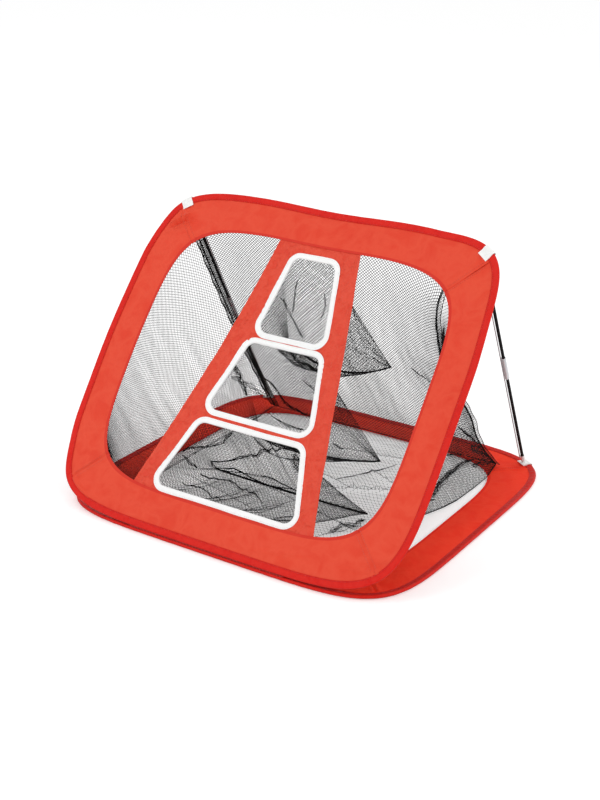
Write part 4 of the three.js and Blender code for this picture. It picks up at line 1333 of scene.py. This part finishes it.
def seamSurface(side, band, layer):
    def surface(s, t):
        point = seamLine(side, t)
        point[:, 0] += side * (seamBand["outward"] + band["inner"] + (band["outer"] - band["inner"]) * s)
        point[:, 1] += layer * seamBand["layers"] + seamBand["flutter"] * np.sin(t * 60 + s * 3) * s
        point[:, 2] = np.maximum(point[:, 2], seamBand["lowest"])
        return point

    return surface


def coreLine(side):
    t = np.linspace(0.002, 0.998, 420)
    path = seamLine(side, t)
    path[:, 1] -= seamBand["coreBehind"]
    path[:, 0] += side * seamBand["coreOutward"]
    path[:, 2] = np.maximum(path[:, 2], seamBand["coreLowest"])
    path[:, 0] += seamBand["beadLift"] * np.sin(t * seamBand["length"] / seamBand["beads"] * 2 * np.pi)
    normals = np.tile([0.0, -0.9, 0.43], (len(t), 1))
    return path, normals, seamBand["core"]


def followBoth(piece):  # the back sheet and its seams hang between base and panel
    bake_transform(piece, "base", "panel", start=seamBand["foot"], end=seamBand["head"])


for side, word in ((-1, "left"), (1, "right")):
    band = seamBand[word]
    lines = []
    for layer in (-1, 1):
        s, t = np.meshgrid(np.linspace(0, 1, band["columns"] + 1), np.linspace(0, 1, seamBand["rows"] + 1))
        points = seamSurface(side, band, layer)(s.ravel(), t.ravel()).reshape(*s.shape, 3)
        found, normals = netLines(points, thread=band["thread"])
        lines += found
        if side < 0 or layer < 0:
            lines.append((points[:, -1], normals[:, -1], net["selvedge"]))
    if side < 0:
        lines.append((points[:, 0], normals[:, 0], net["selvedge"]))
    piece = tubes(f"net_seam_{word}_band", lines)
    dress(piece, "netThread", None, [f"net_seam_{word}"])
    followBoth(piece)
    followBoth(dress(tubes(f"net_seam_{word}_core", [coreLine(side)], 7), "seamThread", None))
followBoth(backNet)
print("net seams made")

# Pockets behind the holes.
pockets = {
    "low": {
        "back": -0.0655, "height": 0.0125, "hemHalf": 0.155, "hemSag": 0.0, "belly": 0.010, "crown": 0.014,
        "thread": 0.00028,
    },
    "middle": {
        "back": 0.0245, "height": 0.066, "hemHalf": 0.125, "hemSag": 0.018, "belly": 0.016, "crown": 0.030,
        "thread": 0.00026,
    },
    "top": {
        "back": 0.0875, "height": 0.213, "hemHalf": 0.105, "hemSag": 0.028, "belly": 0.026, "crown": 0.022,
        "thread": 0.00028,
    },
}
pocket = {
    "margin": 0.003, "gather": 0.004, "ease": 1.12, "hem": 0.0011,
    "under": 0.0026, "layers": 0.0009, "folds": 0.0045, "lowest": 0.0066, "lowestRise": 0.0015,
}


def pocketSurface(name, count):
    look, hole = pockets[name], holes[name]
    loop, _ = holeContour(hole, count)
    middle = toPanel(0.0, (hole["foot"] + hole["head"]) / 2, hoopLevel - 0.003)
    hem = np.array([0.0, look["back"], look["height"]])
    away = (hem - middle) / np.linalg.norm(hem - middle)
    apart = np.cross(away, [-1.0, 0.0, 0.0])
    folds = waveField(430 + len(name), 0.02, 0.07, 14, 1.0)

    def surface(s, t):  # s round the mouth, t from the mouth to the hem
        index = np.round(s * count).astype(int)
        x = loop[index, 0] + loop[index, 2] * pocket["margin"]
        up = loop[index, 1] + loop[index, 3] * pocket["margin"]
        rise = np.clip((up - hole["foot"]) / (hole["head"] - hole["foot"]), 0, 1)
        widest = hole["footHalf"] + (hole["headHalf"] - hole["footHalf"]) * rise + pocket["margin"]
        turnIn = 0.45 * np.maximum(0, rise - 0.7) / 0.3
        across = np.clip(x / widest, -1, 1)
        hemX = across * (1 - turnIn) * look["hemHalf"]
        lift = (np.minimum(rise / 0.7, 1) * 2 - 1) * pocket["layers"]
        end = np.stack([hemX, hem[1] + apart[1] * lift, hem[2] + apart[2] * lift], -1)
        middleness = 1 - (hemX / look["hemHalf"]) ** 2
        end[:, 2] -= look["hemSag"] * middleness
        end[:, 1] -= pocket["gather"] * middleness
        start = toPanel(x, up, stripLevel(x, up) - pocket["under"])
        point = start + (end - start) * t[:, None]
        lower = 1 - rise
        point[:, 2] -= look["belly"] * 4 * t * (1 - t) * (0.35 + 0.65 * middleness) * (0.55 + 0.45 * lower)
        point[:, 2] += look["crown"] * np.sin(np.pi * t**0.8) * rise
        fade = np.sin(np.pi * np.clip(t, 0, 1)) ** 0.8
        around = s * 2 * np.pi
        ripple = folds(0.10 * np.cos(around), 0.10 * np.sin(around))
        ripple = ripple + 0.4 * folds(0.3 * np.cos(around), 0.2 * t)
        point[:, 2] += pocket["folds"] * ripple * fade
        point[:, 2] = np.maximum(point[:, 2], pocket["lowest"] + pocket["lowestRise"] * rise)
        return point

    return surface


for name, hole in holes.items():
    look = pockets[name]
    around = holeContour(hole, 8)[1] * pocket["ease"]
    mouth = toPanel(0.0, (hole["foot"] + hole["head"]) / 2, 0.0)
    depth = np.linalg.norm(mouth - [0, look["back"], look["height"]])
    count = int(round(around / net["pocketCell"] / 2)) * 2
    rows = int(round(depth / net["pocketCell"] / 2)) * 2
    s, t = np.meshgrid(np.arange(count + 1) / count, np.linspace(0, 1, rows + 1))
    points = pocketSurface(name, count)(s.ravel(), t.ravel()).reshape(rows + 1, count + 1, 3)
    lines, normals = netLines(points, wrap=True, thread=look["thread"])
    lines += foldThreads(points, netFolds[name], 7 + len(name))
    lines.append((points[0], normals[0], net["selvedge"]))
    lines.append((points[-1], normals[-1], pocket["hem"]))
    piece = tubes(f"pocket_net_{name}_threads", lines)
    dress(piece, "netThread", "panel", [f"pocket_net_{name}"])
    flattenWithFold(piece)
print("pockets made")

# Webbing tabs at the corners: sections out from the hoop's middle and up.
tab = {
    "turn": 56,  # degrees: direction of the outline's normal
    "half": 0.010,
    "thickness": 0.001,
    "bevel": 0.0002,
    "ripple": 0.00015,
    "panel": [
        (-0.0140, 0.0023), (-0.0075, 0.0023), (-0.0050, 0.0028), (-0.0030, 0.0036), (0.0004, 0.0040),
        (0.0024, 0.0036), (0.0040, 0.0022), (0.0045, 0.0), (0.0040, -0.0022), (0.0024, -0.0034),
        (0.0010, -0.0036), (-0.0136, -0.0036), (-0.0144, -0.0031), (-0.0136, -0.0025),
        (-0.0052, -0.0025),
    ],
    "base": [
        (-0.0052, 0.0025), (-0.0136, 0.0025), (-0.0144, 0.0031), (-0.0136, 0.0036), (0.0010, 0.0036),
        (0.0024, 0.0034), (0.0040, 0.0022), (0.0045, 0.0006), (0.0045, -0.0014),
    ],
}


def makeTab(body, word, edge, place):
    turn = math.radians(tab["turn"] if word == "right" else 180 - tab["turn"])
    x, y, nx, ny = outlineAt(edge, np.array(turn))
    path = np.array(tab[body])
    run = runAlong(path)
    ripple = waveField(500 + len(body) + len(word), 0.01, 0.03, 8)

    def surface(s, t):
        out = np.interp(t * run[-1], run, path[:, 0])
        up = np.interp(t * run[-1], run, path[:, 1])
        across = (2 * s - 1) * tab["half"]
        lift = tab["ripple"] * ripple(across, t * run[-1])
        return place(x + nx * out - ny * across, y + ny * out + nx * across, hoopLevel + up + lift)

    piece = gridPiece(f"{body}_tab_{word}_webbing", 16, 64, surface, (2 * tab["half"], run[-1]))
    finishWith(piece, "SOLIDIFY", thickness=tab["thickness"], offset=0)
    finishWith(
        piece, "BEVEL", width=tab["bevel"], segments=2, limit_method="ANGLE", angle_limit=math.radians(60))
    smoothShade(piece, 50)
    dress(piece, "whiteWebbing", body, [f"{body}_tab_{word}"])


for word in ("left", "right"):
    makeTab("base", word, baseEdge, toBase)
    makeTab("panel", word, panelEdge, toPanel)
print("corner tabs made")

# Rods: two black tubes, a pale joint tube and two pale caps each, with an elastic beside them.
rod = {
    "length": 0.48461,
    "radius": 0.0027, "bore": 0.0013, "start": 0.004, "gap": 0.001, "chamfer": 0.0003,
    "jointRadius": 0.004, "jointBore": 0.003, "jointHalf": 0.025, "jointChamfer": 0.0004,
    "capRadius": 0.0037, "capLength": 0.014, "capBore": 0.003,
    "sides": 32,
}
elastic = {"radius": 0.0010, "beside": 0.0057, "inset": 0.004, "sides": 10, "steps": 160}


def turnedPiece(name, profile, sides):  # a closed profile of radius and height, drawn round Z
    bpy.ops.object.select_all(action="DESELECT")
    bpy.ops.mesh.primitive_circle_add(vertices=sides, radius=profile[0][0], location=(0, 0, 0))
    piece = bpy.context.object
    piece.name = piece.data.name = name
    bpy.ops.object.mode_set(mode="EDIT")
    bpy.ops.mesh.select_mode(type="VERT")
    bpy.ops.mesh.select_all(action="SELECT")
    bpy.ops.transform.translate(value=(0, 0, profile[0][1]))
    for (radius, height), (nextRadius, nextHeight) in zip(profile, profile[1:]):
        bpy.ops.mesh.extrude_region_move(TRANSFORM_OT_translate={"value": (0, 0, nextHeight - height)})
        grow = nextRadius / radius
        bpy.ops.transform.resize(value=(grow, grow, 1), center_override=(0, 0, nextHeight))
    leaveEditing(weld=0.000004)
    return piece


def tubeProfile(outer, inner, low, high, soft):
    return [
        (inner, low + soft), (inner + soft, low), (outer - soft, low), (outer, low + soft),
        (outer, high - soft), (outer - soft, high), (inner + soft, high), (inner, high - soft),
        (inner, low + soft),
    ]


def capProfile():
    radius, wall = rod["capRadius"], rod["capRadius"] - rod["capBore"]
    turns = np.radians(np.linspace(0, 90, 9))
    nose = [(max(0.00001, radius * math.sin(a)), -radius * math.cos(a)) for a in turns]
    profile = nose + [(radius * 0.985, 0.0008), (radius * 0.985, 0.0060), (radius, 0.0066)]
    profile += [(radius, rod["capLength"] - 0.0016), (radius * 0.97, rod["capLength"] - 0.0003)]
    profile += [(radius - wall * 0.5, rod["capLength"]), (rod["capBore"], rod["capLength"] - 0.0003)]
    return profile + [(rod["capBore"], radius), (0.00001, radius)]


def placeAlong(piece, foot, axis, flip, offset):
    turn = axis.to_track_quat("Z", "Y").to_matrix().to_4x4()
    if flip:
        turn = turn @ Matrix.Rotation(math.pi, 4, "X")
    piece.data.transform(Matrix.Translation(foot + axis * offset) @ turn)
    piece.data.update()


def cordPiece(name, path, radius, sides, length):  # a smooth cord with its own UV map
    path = np.array(path)
    along = np.gradient(path, axis=0)
    along /= np.linalg.norm(along, axis=1, keepdims=True)
    normals = np.cross(along, np.cross([0.31, 0.2, 0.93], along))
    normals /= np.linalg.norm(normals, axis=1, keepdims=True)
    side = np.cross(along, normals)
    rows = len(path) - 1

    def surface(s, t):
        index = np.round(t * rows).astype(int)
        turn = (s * 2 * np.pi)[:, None]
        return path[index] + radius * (np.cos(turn) * normals[index] + np.sin(turn) * side[index])

    piece = gridPiece(name, sides, rows, surface, (2 * math.pi * radius, length), closed=True)
    faceOutwards(piece, fill=True)
    smoothShade(piece, 50)
    return piece


for side, word in ((-1, "left"), (1, "right")):
    foot = Vector(joints[f"rod_swing_{word}"]["pos_m"])
    axis = Vector(joints[f"rod_pull_{word}"]["axis"]).normalized()
    axis = -axis if axis.z < 0 else axis
    length, middle = rod["length"], rod["length"] / 2
    tube, joint = (rod["radius"], rod["bore"]), (rod["jointRadius"], rod["jointBore"])
    jointEnds = (middle - rod["jointHalf"], middle + rod["jointHalf"])
    lower = tubeProfile(*tube, rod["start"], middle - rod["gap"], rod["chamfer"])
    upper = tubeProfile(*tube, middle + rod["gap"], length - rod["start"], rod["chamfer"])
    for part, material, slotName, profile in (
        ("lower", "fibreRod", "rod", lower),
        ("upper", "fibreRod", "rod", upper),
        ("joint", "jointTube", "rod_joint", tubeProfile(*joint, *jointEnds, rod["jointChamfer"])),
        ("cap_lower", "capPlastic", "rod_cap", capProfile()),
        ("cap_upper", "capPlastic", "rod_cap", capProfile()),
    ):
        node = f"rod_{part}_{word}"
        piece = turnedPiece(node + "_round", profile, rod["sides"])
        atHead = part == "cap_upper"
        placeAlong(piece, foot, axis, atHead, length if atHead else 0.0)
        smoothShade(piece, 35)
        dress(piece, material, body_of(frame["nodes"][node])[0], [node])
    beside = Vector((-side, 0, 0))
    beside = (beside - axis * beside.dot(axis)).normalized() * elastic["beside"]
    steps = np.linspace(elastic["inset"], length - elastic["inset"], elastic["steps"])
    path = [foot + axis * float(step) + beside for step in steps]
    node, reachLength = f"rod_elastic_{word}", length - 2 * elastic["inset"]
    piece = cordPiece(node + "_cord", path, elastic["radius"], elastic["sides"], reachLength)
    dress(piece, "elasticCord", body_of(frame["nodes"][node])[0], [node])
print("rods made")

# Stitched hinge between the two sleeves.
hingeStitch = {"half": 0.150, "cord": 0.0009, "coil": 0.0023, "pitch": 0.0062, "thread": 0.00042}
half = hingeStitch["half"]
path = [[x, hinge.y, hinge.z] for x in np.linspace(-half, half, 300)]
hingeCord = cordPiece("hinge_cord_twisted", path, hingeStitch["cord"], 12, 2 * half)
dress(hingeCord, "hingeCord", "base", ["hinge_cord"])
steps = np.linspace(-half, half, 1200)
turn = steps / hingeStitch["pitch"] * 2 * np.pi
outward = np.stack([0 * turn, np.cos(turn), np.sin(turn)], 1)
coil = np.array([0, hinge.y, hinge.z]) + hingeStitch["coil"] * outward
coil[:, 0] = steps
whip = tubes("hinge_whip_stitches", [(coil, outward, hingeStitch["thread"])], 6)
dress(whip, "threadRed", "base")
print("hinge made")

stitch = {"length": 0.0026, "gap": 0.0011, "wide": 0.00028, "high": 0.00018, "sink": 0.4, "above": 0.55}
panelOut = np.array([0.0, -math.sin(lean), math.cos(lean)])
upright = np.array([0.0, 0.0, 1.0])


def stitchRow(path, out):  # small closed stitches along a line, half sunk in the cloth
    run = np.concatenate([[0], np.cumsum(np.linalg.norm(np.diff(path, axis=0), axis=1))])
    pitch = stitch["length"] + stitch["gap"]
    starts = np.arange(0, run[-1] - stitch["length"], pitch)
    a, b = (
        np.stack([np.interp(where, run, path[:, k]) for k in range(3)], 1)
        for where in (starts, starts + stitch["length"])
    )
    middle = (a + b) / 2
    along = (b - a) / np.linalg.norm(b - a, axis=1, keepdims=True)
    side = np.cross(along, out)
    side /= np.linalg.norm(side, axis=1, keepdims=True)
    lift = out * stitch["high"]
    return np.stack([
        a - lift * stitch["sink"], middle + side * stitch["wide"], middle + lift * 1.6,
        middle - side * stitch["wide"], middle - lift, b - lift * stitch["sink"],
    ], 1)


stitchFaces = [(0, 2, 1), (0, 3, 2), (0, 4, 3), (0, 1, 4), (5, 1, 2), (5, 2, 3), (5, 3, 4), (5, 4, 1)]


def makeStitches(name, rows, material, body):
    corners = np.concatenate(rows)
    faces = (np.array(stitchFaces)[None] + np.arange(len(corners))[:, None, None] * 6).reshape(-1, 3)
    piece = meshPiece(name, corners.reshape(-1, 3), faces.tolist())
    faceOutwards(piece)
    dress(piece, material, body)


def sleeveRows(edge, place, out):
    turns, _ = turnsAlong(edge, np.linspace(0, 1, 1400))
    x, y, nx, ny = outlineAt(edge, turns)
    o = -sleeve["stitchLine"]
    rows = []
    for sign in (1, -1):
        level = hoopLevel + sign * sleeve["stitchLevel"]
        rows.append(stitchRow(place(x + nx * o, y + ny * o, level + 0 * x), out * sign))
    return rows


def borderRows(body, out):
    rows = []
    along, down = np.linspace(0.004, 0.996, 500), np.linspace(0.12, 0.985, 120)
    for side in range(4):
        surface, length = borderSurfaces[body, side]
        for sign in (1, -1):
            up = out * sign * border["thickness"] * stitch["above"]
            hem = surface(along, np.full_like(along, border["hemStitch"]))
            rows.append(stitchRow(hem + up, out * sign))
            beside = border["mitreStitch"] / length
            for share in (beside, 1 - beside):
                rows.append(stitchRow(surface(np.full_like(down, share), down) + up, out * sign))
    return rows


def stripRows():
    rows = []
    t = np.linspace(0.02, 0.98, 500)
    for sign in (1, -1):
        up = panelOut * sign * strip["thickness"] * stitch["above"]
        for share in strip["stitchShares"]:
            rows.append(stitchRow(stripSurface(np.full_like(t, share), t) + up, panelOut * sign))
    return rows


def trimRows():
    rows = []
    for hole in holes.values():
        loop, _ = holeContour(hole, 400)
        o = trim["outer"] - trim["stitchInset"]
        x, up = loop[:, 0] + loop[:, 2] * o, loop[:, 1] + loop[:, 3] * o
        for sign in (1, -1):
            level = stripLevel(x, up) + sign * trim["stitchLevel"]
            rows.append(stitchRow(toPanel(x, up, level), panelOut * sign))
    return rows


for body, edge, place, out in (("panel", panelEdge, toPanel, panelOut), ("base", baseEdge, toBase, upright)):
    makeStitches(f"{body}_sleeve_stitches", sleeveRows(edge, place, out), "threadRed", body)
for body, out in (("panel", panelOut), ("base", upright)):
    makeStitches(f"{body}_border_stitches", borderRows(body, out), "threadRed", body)
makeStitches("target_strip_stitches", stripRows(), "threadRed", "panel")
makeStitches("hole_trim_stitches", trimRows(), "threadWhite", "panel")
print("stitching made")

# Hidden metal and cord keep their CAD shape, with a proper finish.
for node, name in (
    ("base_hoop", "hoopSteel"), ("shock_cord_left", "shockCord"), ("shock_cord_right", "shockCord"),
):
    frame["nodes"][node].data.materials.clear()
    frame["nodes"][node].data.materials.append(materials[name])
